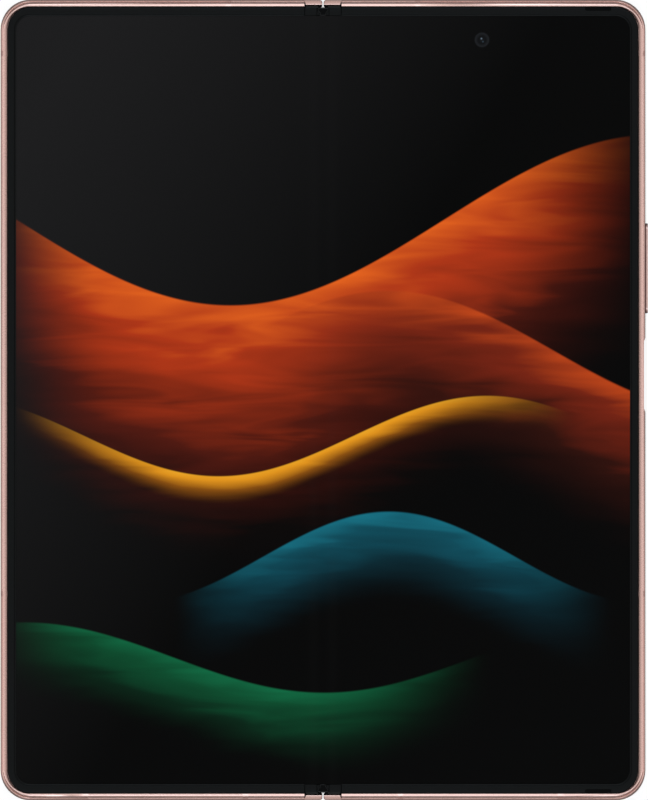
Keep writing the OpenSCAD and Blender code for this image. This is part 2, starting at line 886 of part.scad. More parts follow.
module left_idler() {
    color("#c8a860") gear(-idler_r, idler_teeth, turn_idler_left, -row, row, -shaft_end, row);
}

module left_pinion() {
    color("#c8a860") gear(-pinion_x, pinion_teeth, turn_pinion_left, -row_out, row, -shaft_end, shaft_end);
}

// Slack ribbons from half to half, drawn as a band between two curves
function flex_dip(x) = abs(x) < flex_zone ? flex_drop * (1 + cos(180 * x / flex_zone)) / 2 : 0;
function flex_z(x) = z_mid - 0.02 - flex_t - flex_dip(x);

module hinge_flex_cables() {
    xs = concat([-flex_end], flex_xs, [flex_end]);
    color("#b5742c") for (s = [-1, 1]) along_y(s * flex_y - flex_w / 2, s * flex_y + flex_w / 2) {
        polygon(concat([for (x = xs) [x, flex_z(x)]],
                       [for (k = [len(xs) - 1 : -1 : 0]) [xs[k], flex_z(xs[k]) + flex_t]]));
    }
}

// ---- Screws ----

module board_screws(places) {
    for (p = places) translate([p.x, p.y, z_board - head_h]) {
        cylinder(r = head_r, h = head_h);
        cylinder(r = screw_r, h = head_h + board_t + boss_h - 0.1);
    }
}

module tab_screw(y) {
    translate([tab_x, y, z_mid - head_h]) {
        cylinder(r = 0.85, h = head_h);
        cylinder(r = tab_screw_r, h = head_h + mid_t - fit);
    }
}

module tab_screws(side) {
    for (y = bracket_y) tab_screw(y + side * rail_y);
    tab_screw(side * (gear_w + gear_gap));
}

module right_screws() {
    color("#8a8d91") union() {
        board_screws(main_screws);
        board_screws(sub_screws);
        tab_screws(1);
    }
}

module left_screws() {
    color("#8a8d91") left() union() {
        board_screws(left_screw_at);
        tab_screws(-1);
    }
}

// ---- Backs ----

module island_plan(inset) {
    r = island_w / 2 - inset - 0.2;
    round_box(island_x - island_w / 2 + inset, island_x + island_w / 2 - inset,
              island_y - island_l / 2 + inset, island_y + island_l / 2 - inset, r);
}

module back_plan() {
    half_plan(back_x, wall_t + fit, wall_t + fit, corner_r - wall_t - fit);
}

module right_back_glass() {
    color(bronze) difference() {
        slab(z_back, z_glass) back_plan();
        slab(z_back - 1, z_glass + 1) island_plan(1.2);
    }
}

module camera_frame() {
    color(bronze) difference() {
        union() {
            slab(0.25, z_back) island_plan(0);
            slab(z_back, z_glass) island_plan(1.2 + fit);
        }
        slab(0, 0.25 + 0.6) island_plan(0.7);
        for (y = lens_y) translate([island_x, y, 0]) cylinder(r = lens_r - 0.6, h = z_glass + 1);
        translate([island_x, flash_y, 0]) cylinder(r = flash_r + fit, h = z_flash);
    }
}

module camera_glass() {
    color(black) difference() {
        slab(0.15, 0.85) island_plan(0.7 + fit);
        for (y = lens_y) translate([island_x, y, 0]) cylinder(r = lens_r + 0.03, h = 2);
        translate([island_x, flash_y, 0]) cylinder(r = flash_r + fit, h = 2);
    }
}

module lens_rings() {
    color("#8d7268") for (y = lens_y) translate([island_x, y, 0]) difference() {
        cylinder(r = lens_r, h = 0.85);
        translate([0, 0, -1]) cylinder(r = lens_r - 0.6, h = 3);
    }
}

module lens_covers() {
    color("#101418") for (y = lens_y) translate([island_x, y, 0.15]) cylinder(r = lens_r - 0.63, h = 0.5);
}

module camera_unit(y, barrel_r, w, aperture_r) {
    z_body = z_glass + 0.15;
    difference() {
        union() {
            translate([island_x, y, 0.75]) cylinder(r = barrel_r, h = z_body - 0.75);
            box(island_x - w / 2, island_x + w / 2, y - w / 2, y + w / 2, z_body, z_mid - 0.02);
        }
        translate([island_x, y, 0]) cylinder(r1 = barrel_r - 0.5, r2 = aperture_r, h = 1.9);
    }
}

module ultrawide_camera() {
    color("#202428") camera_unit(lens_y[0], lens_r - 1.4, camera_w[0], 1);
}

module wide_camera() {
    color("#202428") camera_unit(lens_y[1], lens_r - 0.9, camera_w[1], 1.6);
}

module telephoto_camera() {
    color("#202428") camera_unit(lens_y[2], lens_r - 1.6, camera_w[2], 1.2);
}

module flash_led() {
    color("#f3ecc8") translate([island_x, flash_y, 0.15]) cylinder(r = flash_r, h = z_flash - 0.15);
}

module cover_glass() {
    color(black) left() slab(z_back, z_glass) back_plan();
}

module cover_display() {
    color("#0d0f12") left() slab(z_glass, z_glass + cover_display_t) difference() {
        half_plan(inner_x + 1, wall_t + 1.2, wall_t + 1.2, corner_r - wall_t - 1.2);
        translate([speaker_x, half_h - 7]) circle(2.1);
    }
}

module cover_camera() {
    color("#202428") left() translate([speaker_x, half_h - 7, z_glass]) {
        cylinder(r = 2, h = cover_display_t + 0.4);
    }
}

// ---- Inside the right half ----

module front_camera() {
    color("#202428") union() {
        translate([front_cam_x, front_cam_y, z_mid - 0.4]) {
            cylinder(r = front_cam_r, h = z_display - z_mid + 0.4 - fit);
        }
        slab(z_board + board_t, z_mid - 0.4) translate([front_cam_x, front_cam_y]) {
            square(3 * front_cam_r, center = true);
        }
    }
}

module main_board() {
    color(board_green) difference() {
        slab(z_board, z_board + board_t) {
            round_box(board_in, board_out, board_y, board_end, 1);
        }
        for (p = main_screws) translate([p.x, p.y, 0]) cylinder(r = screw_r + 0.1, h = 20);
    }
}

// A shield can, placed by shares of the main board
module shield(u0, u1, v0, v1, z0, z1) {
    w = board_out - board_in;
    l = board_end - board_y;
    box(board_in + u0 * w, board_in + u1 * w, board_y + v0 * l, board_y + v1 * l, z0, z1);
}

module board_shields() {
    color("#9da3a8") union() {
        shield(0.16, 0.5, 0.25, 0.58, z_board - 1.3, z_board);
        shield(0.56, 0.84, 0.28, 0.54, z_board - 1.1, z_board);
        shield(0.18, 0.8, 0.64, 0.88, z_board - 1.3, z_board);
        shield(0.2, 0.52, 0.62, 0.84, z_board + board_t, z_mid - 0.1);
    }
}

module main_battery() {
    color(battery_grey) slab(z_battery - battery_t, z_battery) {
        round_box(inner_x + 1, board_out + 4, sub_y + battery_gap, board_y - battery_gap, 1.5);
    }
}

module wireless_coil() {
    color("#a8672e") translate([(inner_x + board_out) / 2, (sub_y + board_y) / 2, z_glass]) difference() {
        cylinder(r = coil_r[0], h = coil_t);
        translate([0, 0, -1]) cylinder(r = coil_r[1], h = coil_t + 2);
    }
}

module usb_c_shell() {
    color(steel) difference() {
        port_hole(0, 0.2 - half_h, port_back);
        port_hole(-0.3, -half_h, port_back - 0.5);
    }
}

module usb_c_tongue() {
    color("#26282a") {
        box(port_x - tongue_w / 2, port_x + tongue_w / 2, 1 - half_h, port_back - 0.5,
            z_key - tongue_t / 2, z_key + tongue_t / 2);
    }
}

module sub_board() {
    color(board_green) difference() {
        slab(z_board, z_board + board_t) round_box(board_in, sub_out, -board_end, sub_y, 1);
        port_hole(fit, -half_h, port_back + fit);
        box(port_x - port_w / 2 + 0.3, port_x + port_w / 2 - 0.3, -half_h, port_back + fit,
            z_board - 1, z_mid);
        for (p = sub_screws) translate([p.x, p.y, 0]) cylinder(r = screw_r + 0.1, h = 20);
    }
}

module vibration_motor() {
    color("#a7a9ac") slab(z_mid - motor_t, z_mid) {
        round_box(sub_out + 1, sub_out + 1 + motor_w, -board_end, sub_y - 3, 0.8);
    }
}

module magnets() {
    x1 = wall_in - fit;
    y1 = band_side_y[1] + 1.5 * magnet_l;
    for (y = [y1, y1 - magnet_pitch]) box(x1 - magnet_w, x1, y - magnet_l, y, z_mid - magnet_h, z_mid);
}

module right_magnets() {
    color("#6d7074") magnets();
}

module left_magnets() {
    color("#6d7074") left() magnets();
}

// ---- Keys ----

module key_body(y, l, out, flange_gap) {
    translate([0, y, z_key]) rotate([0, 90, 0]) rotate([0, 0, 90]) {
        translate([0, 0, wall_in - flange_gap]) {
            linear_extrude(half_w + out - wall_in + flange_gap) slot_plan(l, key_h);
        }
        translate([0, 0, wall_in - flange_gap - flange_t]) linear_extrude(flange_t) {
            slot_plan(l + 0.8, key_h + 0.8);
        }
    }
}

module volume_key() {
    color(metal) key_body(volume_y, volume_l, volume_out, key_travel);
}

module power_key() {
    color("#c79c92") key_body(power_y, power_l, -power_dip, fit);
}

module side_key_flex() {
    color("#b5742c") union() {
        box(flex_plate_x - 0.2, flex_plate_x, power_y - power_l / 2 - 1, volume_y + volume_l / 2 + 1,
            z_key - key_h / 2, z_mid);
        for (y = [volume_y - 5.5, volume_y + 5.5, power_y]) {
            translate([flex_plate_x, y, z_key]) rotate([0, 90, 0]) cylinder(r = 1, h = 0.5);
        }
    }
}

// ---- Inside the left half ----

module second_battery() {
    color(battery_grey) left() slab(z_battery - battery2_t, z_battery) {
        round_box(inner_x + 1, wall_in - 5, battery_gap - left_board_y[1],
                  left_board_y[0] - battery_gap, 1.5);
    }
}

module left_board() {
    color(board_green) left() difference() {
        slab(z_board, z_board + board_t) {
            round_box(board_in, left_board_out, left_board_y[0], left_board_y[1], 1);
        }
        for (p = left_screw_at) translate([p.x, p.y, 0]) cylinder(r = screw_r + 0.1, h = 20);
    }
}

module speaker() {
    slab(z_glass + cover_display_t + 0.1, z_mid) {
        round_box(speaker_x - speaker_w / 2, speaker_x + speaker_w / 2, half_h - wall_t - 0.3 - speaker_l,
                  half_h - wall_t - 0.3, 1);
    }
}

module top_speaker() {
    color("#3a3c3f") left() difference() {
        speaker();
        translate([speaker_x, half_h - 7, 0]) cylinder(r = 2.2, h = z_glass + cover_display_t + 0.6);
    }
}

module bottom_speaker() {
    color("#3a3c3f") left() mirror([0, 1, 0]) speaker();
}

// Plan of the card tray's carrier, as long as the tray is deep
module carrier_plan(x_add, x1, y_add) {
    x0 = tray_in - tray_l + x_add;
    translate([x0, tray_y - carrier_w / 2 - y_add]) square([x1 - x0, carrier_w + 2 * y_add]);
}

module sim_reader() {
    color("#9da3a8") left() difference() {
        slab(z_key - tray_t / 2 - 0.4, z_mid) carrier_plan(-1, wall_in - 0.2, 0.6);
        slab(z_key - tray_t / 2 - 0.1, z_key + tray_t / 2 + 0.1) carrier_plan(-0.15, wall_in + 1, 0.2);
    }
}

module sim_tray() {
    color(metal) left() difference() {
        union() {
            translate([wall_in + 0.1, tray_y, z_key]) rotate([0, 90, 0]) rotate([0, 0, 90]) {
                linear_extrude(tray_in - wall_in - 0.1) slot_plan(tray_w, 2);
            }
            slab(z_key - tray_t / 2, z_key + tray_t / 2) carrier_plan(0, wall_in + 0.2, 0);
        }
        slab(0, z_bead) carrier_plan(1.5, wall_in - 3, -1.9);
        translate([wall_in, tray_y - tray_w / 2 + 1.6, z_key]) rotate([0, 90, 0]) cylinder(r = 0.4, h = 5);
    }
}

// ---- Drawing ----

right_frame();
right_antenna_bands();
right_bezel();
bezel_pads();
right_back_glass();
camera_frame();
camera_glass();
lens_rings();
lens_covers();
wide_camera();
ultrawide_camera();
telephoto_camera();
flash_led();
display_right();
display_plate_right();
front_camera();
main_board();
board_shields();
main_battery();
wireless_coil();
usb_c_shell();
usb_c_tongue();
sub_board();
vibration_motor();
right_rotators();
right_gear_sector();
right_screws();
side_key_flex();
volume_key();
power_key();
right_magnets();
hinge_cover();
hinge_brackets();
hinge_end_caps();
right_pinion();
right_idler();
left_idler();
left_pinion();
display_fold();
hinge_flex_cables();
left_frame();
left_antenna_bands();
left_bezel();
cover_glass();
cover_display();
cover_camera();
second_battery();
left_board();
top_speaker();
bottom_speaker();
sim_reader();
sim_tray();
display_left();
display_plate_left();
left_rotators();
left_gear_sector();
left_screws();
left_magnets();
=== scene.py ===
import json
import math
from functools import partial
import bmesh
import bpy
import numpy as np
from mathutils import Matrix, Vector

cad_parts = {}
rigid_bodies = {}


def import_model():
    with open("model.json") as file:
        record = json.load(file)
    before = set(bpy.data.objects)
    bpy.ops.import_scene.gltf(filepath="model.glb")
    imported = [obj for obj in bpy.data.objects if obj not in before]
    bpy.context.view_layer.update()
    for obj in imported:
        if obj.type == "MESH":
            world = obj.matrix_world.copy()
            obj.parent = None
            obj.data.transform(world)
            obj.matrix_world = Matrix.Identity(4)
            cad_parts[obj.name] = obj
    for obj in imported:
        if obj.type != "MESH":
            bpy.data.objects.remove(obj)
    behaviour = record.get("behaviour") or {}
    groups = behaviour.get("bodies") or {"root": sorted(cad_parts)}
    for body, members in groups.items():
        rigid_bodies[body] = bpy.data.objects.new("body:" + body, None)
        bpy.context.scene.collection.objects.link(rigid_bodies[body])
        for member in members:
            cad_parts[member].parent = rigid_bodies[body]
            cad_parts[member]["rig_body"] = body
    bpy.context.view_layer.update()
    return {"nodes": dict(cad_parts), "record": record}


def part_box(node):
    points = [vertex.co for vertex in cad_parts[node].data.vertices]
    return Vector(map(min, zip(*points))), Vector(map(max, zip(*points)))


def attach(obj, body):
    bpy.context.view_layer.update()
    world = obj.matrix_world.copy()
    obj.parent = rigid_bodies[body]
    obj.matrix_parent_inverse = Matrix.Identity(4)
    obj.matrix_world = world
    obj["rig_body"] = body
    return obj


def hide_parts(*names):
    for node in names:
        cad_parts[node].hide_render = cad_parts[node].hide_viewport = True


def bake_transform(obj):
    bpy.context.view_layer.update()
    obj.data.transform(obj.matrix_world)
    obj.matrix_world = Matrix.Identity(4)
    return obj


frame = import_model()
print("frame loaded,", len(frame["nodes"]), "nodes")

mm = 0.001


def corner(node, side, axis):
    # One coordinate of a CAD node's box in millimetres: side 0 is the low one, 1 the high one
    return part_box(node)[side][axis] / mm


# Everything the new pieces share with the CAD pieces, in millimetres
phone = {
    "halfWidth": corner("right_frame", 1, 0),
    "halfHeight": corner("right_frame", 1, 1),
    "screenZ": corner("display_right", 1, 2),
    "screenBackZ": corner("display_right", 0, 2),
    "foldX": corner("display_right", 0, 0),
    "beadZ": corner("right_frame", 1, 2),
    "bezelZ": corner("right_bezel", 1, 2),
    "cornerRadius": 6.0,
}

# The slot of each CAD node's finish
slotOf = {part["node"]: part["material_slot"] for part in frame["record"]["subparts"]}

# Points this near count as one, in metres, and faces this nearly level, in degrees
same = {"madePoints": 1e-7, "cadPoints": 2e-7, "faces": 0.3}


def gridFaces(rows, cols, wrapRows=False, wrapCols=False):
    # Quads between neighbouring points of a grid, closing round on either side where asked
    a, b = np.meshgrid(np.arange(rows - (not wrapRows)), np.arange(cols - (not wrapCols)), indexing="ij")
    a2, b2 = (a + 1) % rows, (b + 1) % cols
    return np.stack([a * cols + b, a2 * cols + b, a2 * cols + b2, a * cols + b2], -1).reshape(-1, 4)


def gridPoints(x, y, z):
    # Points from three arrays of one shape, or of shapes that stretch to it
    return np.stack(np.broadcast_arrays(x, y, z), -1)


def readPoints(items, field):
    # The three numbers that each of a mesh's items holds in a field
    values = np.zeros(len(items) * 3)
    items.foreach_get(field, values)
    return values.reshape(-1, 3)


def inwards(ring, step):
    # The way from each point of a ring towards the ring's middle, of the given length
    way = ring.mean(0) - ring
    return way / np.linalg.norm(way, axis=1)[:, None] * step


def makePiece(name, parts, material, body, replaced=(), smooth=40):
    # One mesh from several closed shells, each a pair of points in millimetres and a list of faces
    points, faces, start = [], [], 0
    for shellPoints, shellFaces in parts:
        points.append(np.asarray(shellPoints, float).reshape(-1, 3))
        faces += [[int(i) + start for i in face] for face in shellFaces]
        start += len(points[-1])
    mesh = bpy.data.meshes.new(name)
    mesh.from_pydata((np.concatenate(points) * mm).tolist(), [], faces)
    shell = bmesh.new()
    shell.from_mesh(mesh)
    bmesh.ops.remove_doubles(shell, verts=shell.verts, dist=same["madePoints"])
    bmesh.ops.recalc_face_normals(shell, faces=shell.faces)
    shell.to_mesh(mesh)
    shell.free()
    return finishPiece(name, mesh, material, body, replaced, smooth)


def finishPiece(name, mesh, material, body, replaced, smooth):
    # Shades the mesh, gives it its finish and makes it ride on its body
    mesh.materials.clear()
    mesh.materials.append(material)
    mesh.shade_smooth()
    mesh.set_sharp_from_angle(angle=math.radians(smooth))
    piece = bpy.data.objects.new(name, mesh)
    bpy.context.scene.collection.objects.link(piece)
    if body:
        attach(piece, body)
    if replaced:
        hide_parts(*replaced)
    return piece


def outline(profile, x0, straight=24, turn=14):
    # Carries a profile round one half, from the hinge along the top, down the outer side and
    # back along the bottom. Each profile point is (inset at the side, inset at the ends, corner
    # radius, height). x = x0 + (x1 - r - x0) * c + r * s and y = (y1 - r) * d + r * e, where c, s, d
    # and e run with the path: c and d over the straights, s and e as sine and cosine in the corners.
    side, end, radius, z = (np.asarray(v, float)[:, None] for v in np.asarray(profile, float).T)
    along = np.linspace(0, 1, straight)
    angle = np.linspace(0, math.pi / 2, turn)[1:]
    c = np.concatenate([along, np.ones(2 * len(angle) + straight - 1), along[::-1][1:]])
    s = np.concatenate([0 * along, np.sin(angle), np.ones(straight - 1), np.cos(angle), 0 * along[1:]])
    d = np.concatenate([0 * along + 1, 0 * angle + 1, 1 - 2 * along[1:], 0 * angle - 1, 0 * along[1:] - 1])
    e = np.concatenate([0 * along + 1, np.cos(angle), 0 * along[1:], -np.sin(angle), 0 * along[1:] - 1])
    x1 = phone["halfWidth"] - side - radius
    y1 = phone["halfHeight"] - end - radius
    x = x0 + (x1 - x0) * c + radius * s
    y = y1 * d + radius * e
    return gridPoints(x, y, z).transpose(1, 0, 2)


def capped(points, mirrored=False):
    # A closed profile carried along an open path, with a face across each end
    rows, cols = points.shape[:2]
    faces = gridFaces(rows, cols, wrapCols=True).tolist()
    faces += [list(range(cols)), list(range((rows - 1) * cols, rows * cols))]
    return (points * [-1, 1, 1] if mirrored else points), faces


def roundedBlock(sign, end, x, y, z, radius, steps=5):
    # A box with round edges between two places on each axis, mirrored to its own quarter of the phone.
    # Every direction of a ball is moved out to the corner of its own octant; the ball is run round
    # (longitude) and over (latitude), each octant with its own steps.
    low, high = np.sort([(sign * a, end * b, c) for a, b, c in zip(x, y, z)], axis=0)
    quarter = np.linspace(0, math.pi / 2, steps)
    turn = np.concatenate([quarter + k * math.pi / 2 for k in range(4)])
    octantX = np.repeat([1, -1, -1, 1], steps)
    octantY = np.repeat([1, 1, -1, -1], steps)
    rise = np.concatenate([quarter - math.pi / 2, quarter])
    octantZ = np.repeat([-1, 1], steps)
    core = (high - low) / 2 - radius
    px = np.cos(rise)[:, None] * np.cos(turn) * radius + octantX * core[0]
    py = np.cos(rise)[:, None] * np.sin(turn) * radius + octantY * core[1]
    pz = (np.sin(rise) * radius + octantZ * core[2])[:, None]
    return capped(gridPoints(px, py, pz) + (low + high) / 2)


def turned(profile, centre, ring=False, around=64):
    # A profile of (radius, height) points spun about an upright line through the centre: x = cx + radius *
    # cos(angle), y = cy + radius * sin(angle). A ring's profile closes on itself, any other is capped
    profile = np.asarray(profile, float)
    angle = np.linspace(0, 2 * math.pi, around, endpoint=False)
    x = centre[0] + profile[:, :1] * np.cos(angle)
    y = centre[1] + profile[:, :1] * np.sin(angle)
    points = gridPoints(x, y, profile[:, 1:])
    return (points, gridFaces(*x.shape, True, True).tolist()) if ring else capped(points)


def finishedCopy(node, name, material, bevel=0.0, smooth=35, reshape=None, edgeMaterial=None):
    # A merged copy of a CAD node with even shading; bevel rounds its sharp edges, in millimetres,
    # and gives them a material of their own where one is named
    source = frame["nodes"][node]
    mesh = source.data.copy()
    mesh.name = name
    shell = bmesh.new()
    shell.from_mesh(mesh)
    bmesh.ops.remove_doubles(shell, verts=shell.verts, dist=same["cadPoints"])
    shell.to_mesh(mesh)
    if reshape:
        places = reshape(readPoints(mesh.vertices, "co") / mm) * mm
        mesh.vertices.foreach_set("co", places.ravel())
    shell.clear()
    shell.from_mesh(mesh)
    level = math.radians(same["faces"])
    bmesh.ops.dissolve_limit(shell, angle_limit=level, verts=shell.verts, edges=shell.edges)
    bmesh.ops.recalc_face_normals(shell, faces=shell.faces)
    shell.to_mesh(mesh)
    shell.free()
    piece = finishPiece(name, mesh, material, source["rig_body"], [node], smooth)
    if bevel:
        edge = piece.modifiers.new("edges", "BEVEL")
        edge.width, edge.segments, edge.limit_method = bevel * mm, 3, "ANGLE"
        edge.angle_limit = math.radians(smooth)
        if edgeMaterial:
            mesh.materials.append(edgeMaterial)
            edge.material = 1
    even = piece.modifiers.new("shading", "WEIGHTED_NORMAL")
    even.keep_sharp = True
    return piece


def linearColour(text):
    # sRGB hex to linear; anything else stays as it is
    if not isinstance(text, str):
        return text
    value = np.array([int(text[i:i + 2], 16) for i in (1, 3, 5)]) / 255
    value = np.where(value <= 0.04045, value / 12.92, ((value + 0.055) / 1.055) ** 2.4)
    return (*value.tolist(), 1.0)


def feed(node, inputs):
    # Fills a node's inputs: a socket, or a node's first output, is linked, and a hex colour made linear
    for key, value in inputs.items():
        if isinstance(value, bpy.types.Node):
            value = value.outputs[0]
        if isinstance(value, bpy.types.NodeSocket):
            node.id_data.links.new(value, node.inputs[key])
        else:
            node.inputs[key].default_value = linearColour(value)


def addNode(tree, kind, inputs=None, stops=(), **settings):
    # Adds a node with its settings and links; stops fill a colour ramp
    node = tree.nodes.new("ShaderNode" + kind)
    for key, value in settings.items():
        setattr(node, key, value)
    feed(node, inputs or {})
    for number, (place, colour) in enumerate(stops):
        ramp = node.color_ramp.elements
        stop = ramp[number] if number < len(ramp) else ramp.new(place)
        stop.position, stop.color = place, linearColour(colour)
    return node


def newMaterial(name, colour, roughness, metallic=0.0, specular=0.5, coat=0.0, coatRoughness=0.03):
    # A plain surface shader to build a finish on, and what adds nodes beside it
    material = bpy.data.materials.new(name)
    material.use_nodes = True
    shader = material.node_tree.nodes["Principled BSDF"]
    feed(shader, {"Base Color": colour, "Roughness": roughness, "Metallic": metallic,
                  "Specular IOR Level": specular, "Coat Weight": coat, "Coat Roughness": coatRoughness})
    return material, shader, partial(addNode, material.node_tree)


# How much fine detail the grain has, which of its values span the roughness and the colours, and how
# far a plain finish's roughness spreads, as shares of it
grain = {"detail": 3.0, "roughFrom": (0.3, 0.7), "tintFrom": (0.35, 0.65), "plainSpread": (0.85, 1.2)}


def grained(look, size, bump, roughness, colours=None, stretch=(1, 1, 1)):
    # A look with surface texture of the given size in millimetres: a bump, a spread of roughness and,
    # where colours are given, a slight variation between them. Blasting and moulding leave a finer
    # grain than the picture can show, so theirs is drawn at 0.1 mm or more
    material, shader, add = newMaterial(*look)
    place = add("TexCoord")
    scaled = add("Mapping", {"Vector": place.outputs["Object"],
                             "Scale": tuple(1 / (size * mm * k) for k in stretch)})
    noise = add("TexNoise", {"Vector": scaled, "Scale": 1.0, "Detail": grain["detail"]})
    relief = add("Bump", {"Height": noise, "Strength": 1.0, "Distance": bump * mm})
    low, high = grain["roughFrom"]
    spread = add("MapRange", {"Value": noise, "From Min": low, "From Max": high,
                              "To Min": roughness[0], "To Max": roughness[1]})
    feed(shader, {"Normal": relief, "Roughness": spread})
    if colours:
        feed(shader, {"Base Color": add("ValToRGB", {"Fac": noise}, zip(grain["tintFrom"], colours))})
    return material, shader, add


def objectAxes(add):
    # The place on a piece along x, y and z, in metres
    return add("SeparateXYZ", {0: add("TexCoord").outputs["Object"]}).outputs


def awayFrom(add, centre):
    # How far a place is, seen from above, from a centre given in millimetres
    x, y = objectAxes(add)[:2]
    flat = add("CombineXYZ", {0: x, 1: y})
    point = (centre[0] * mm, centre[1] * mm, 0)
    return add("VectorMath", {0: flat, 1: point}, operation="DISTANCE").outputs["Value"]


def waves(add, along, pitch):
    # sin(2 pi * along / pitch), with the pitch in millimetres
    turns = add("Math", {0: along, 1: 2 * math.pi / (pitch * mm)}, operation="MULTIPLY")
    return add("Math", {0: turns}, operation="SINE")


def discOver(add, away, disc, unit, below):
    # A disc over the colour below it, soft at its rim, with colours that run from the middle outwards;
    # unit is one millimetre in what the distance away is measured in
    radius, edge = disc["radius"] * unit, disc["edge"] * unit
    cover = add("MapRange", {"Value": away, "From Min": radius, "From Max": radius - edge})
    depth = add("MapRange", {"Value": away, "From Max": radius})
    colour = add("ValToRGB", {"Fac": depth}, zip(disc["stops"], disc["colours"]))
    return add("Mix", {"Factor": cover, "A": below, "B": colour}, data_type="RGBA").outputs["Result"]


# Anodised aluminium, blasted and dyed: a satin pink bronze with a soft, wide highlight
def anodisedAluminium():
    look = "anodised aluminium", "#e5bdb3", 0.28, 1.0
    return grained(look, 0.1, 0.0001, (0.26, 0.3), ("#e4bcb2", "#e6beb4"))[0]


# From where to where, outside the frame's face, the keys' colour turns from dark to light: painted shade at
# their root, in millimetres
keySeam = {"dark": 0.18, "light": 0.26, "colours": ("#5c332e", "#e6bfb5")}


# The same metal on the keys, smoother than the frame, its colour painted darker in the seam beside the frame
# as painted shade
def polishedKeyMetal():
    look = "polished anodised key", keySeam["colours"][1], 0.24, 1.0
    material, shader, add = grained(look, 0.1, 0.0001, (0.28, 0.34))
    # Painted shade: the keys' colour is dark next to the frame and light further out
    dark, light = (phone["halfWidth"] + keySeam[k] for k in ("dark", "light"))
    out = add("MapRange", {"Value": objectAxes(add)[0], "From Min": dark * mm, "From Max": light * mm})
    feed(shader, {"Base Color": add("ValToRGB", {"Fac": out}, zip((0, 1), keySeam["colours"]))})
    return material


# Moulded band: plastic with a pearl pigment in the frame's colour, a little duller than the metal
def mouldedBand():
    look = "moulded antenna band", "#cfa59b", 0.4, 0.85
    return grained(look, 0.12, 0.0005, (0.37, 0.44), ("#cca298", "#d2a89e"))[0]


# Moulded black bezel: fine spark-eroded texture, so its round edges catch only a thin dull light
def mouldedBezel():
    look = "moulded black bezel", "#090a0a", 0.38, 0.0, 0.09
    return grained(look, 0.12, 0.0012, (0.34, 0.42), ("#080909", "#0a0b0b"))[0]


# Soft lip of the bezel: smoother than the bezel and a shade lighter in colour, so it draws a thin lighter
# line round the screen; the lighter colour is a painted highlight
def mouldedLip():
    look = "soft bezel lip", "#101111", 0.3, 0.0, 0.14
    return grained(look, 0.2, 0.0005, (0.27, 0.34))[0]


# Silicone rubber: almost no gloss, a deep dull black
def siliconeRubber():
    look = "silicone rubber", "#070707", 0.75, 0.0, 0.08
    return grained(look, 0.2, 0.004, (0.7, 0.82))[0]


# Grey gasket: soft moulded rubber, a shade lighter than the plastic it lies against
def siliconeGasket():
    look = "grey silicone gasket", "#2c2c2b", 0.6, 0.0, 0.1
    return grained(look, 0.2, 0.001, (0.55, 0.65))[0]


# Moulded nylon of the hinge's caps: a dull black that takes hardly any light
def mouldedCap():
    look = "moulded black hinge cap", "#060606", 0.45, 0.0, 0.04
    return grained(look, 0.15, 0.001, (0.4, 0.5))[0]


# Etched back glass: satin bronze with a fine sparkle, and fingers leave no mark on it
def etchedGlass():
    look = "etched bronze glass", "#c79c8c", 0.33, 0.35, 0.6, 0.15, 0.25
    return grained(look, 0.12, 0.0012, (0.29, 0.38), ("#c1948a", "#cca294"))[0]


# Polished black glass over a black print: a mirror-like sheet
def polishedGlass():
    look = "polished black glass", "#070809", 0.06, 0.0, 0.5, 0.3
    return grained(look, 22.0, 0.0006, (0.05, 0.09))[0]


def plainFinish(name, colour, colour2, roughness, metallic, size, bump, stretch=(1, 1, 1)):
    # A finish that needs only two close colours and its grain
    spread = [min(1.0, roughness * share) for share in grain["plainSpread"]]
    return grained((name, colour, roughness, metallic), size, bump, spread, (colour, colour2), stretch)[0]


# The picture on the screen: wide ribbons with a crisp upper edge that fade downwards into black.
# Heights, lengths and depths in millimetres; light is where along the width the ribbon glows
ribbons = [
    {"height": 36, "swing": 17, "length": 27, "shift": 24, "depth": 56, "edge": 0.5,
     "colours": ("#ee6a1e", "#ad3514", "#55180c", "#120503"), "light": (-66, -42, 30, 66)},
    {"height": 10, "swing": 12, "length": 21, "shift": -20, "depth": 36, "edge": 0.6,
     "colours": ("#cf4d19", "#742210", "#300e07", "#080202"), "light": (-20, 22, 56, 86)},
    {"height": -7, "swing": 8, "length": 17, "shift": 6, "depth": 6.5, "edge": 0.4,
     "colours": ("#f2ae2c", "#e0931b", "#8a500d", "#1a0e02"), "light": (-62, -28, 14, 50)},
    {"height": -31, "swing": 9, "length": 16, "shift": -12, "depth": 20, "edge": 0.5,
     "colours": ("#187a8e", "#0c4b5a", "#062a34", "#01070a"), "light": (-30, -2, 24, 58)},
    {"height": -51, "swing": 7, "length": 19, "shift": 30, "depth": 18, "edge": 0.5,
     "colours": ("#107349", "#084a2c", "#042817", "#000603"), "light": (-66, -42, -6, 34)},
]

# What they share: the shares of the depth down to which they are full, by which the streaks move the
# colours and over which the colours spread, and the streaks' own scale
ribbonStyle = {"full": 0.35, "streaks": (0.035, 0.22, 1.0), "detail": 2.0, "twist": 0.8, "waver": 0.45,
               "colourSpan": (0.1, 1.1), "stops": (0.0, 0.3, 0.62, 1.0)}
# A painted reflection: a dim grey sheen over the screen, lighter towards the upper left
haze = {"slope": 0.6, "reach": 90.0, "colours": ("#010101", "#1a1a1b")}
uvSpan = 200.0      # millimetres of screen that one unit of the UV map holds


def foldingScreen():
    # Folding screen: glass-thin polymer over a lit panel, a deep black with low gloss
    material, shader, add = newMaterial("folding polymer screen", "#030303", 0.12, 0.0, 0.2)
    plan = add("UVMap", uv_map="screenPlan")
    centred = add("VectorMath", {0: plan, 1: (0.5, 0.5, 0)}, operation="SUBTRACT")
    place = add("VectorMath", {0: centred, "Scale": uvSpan}, operation="SCALE")
    x, y = add("SeparateXYZ", {0: place}).outputs[:2]
    picture = panelHaze(add, x, y)
    for ribbon in ribbons:
        picture = addRibbon(add, x, y, place, ribbon, picture)
    feed(shader, {"Emission Color": addLens(add, place, picture), "Emission Strength": 1.0})
    return material


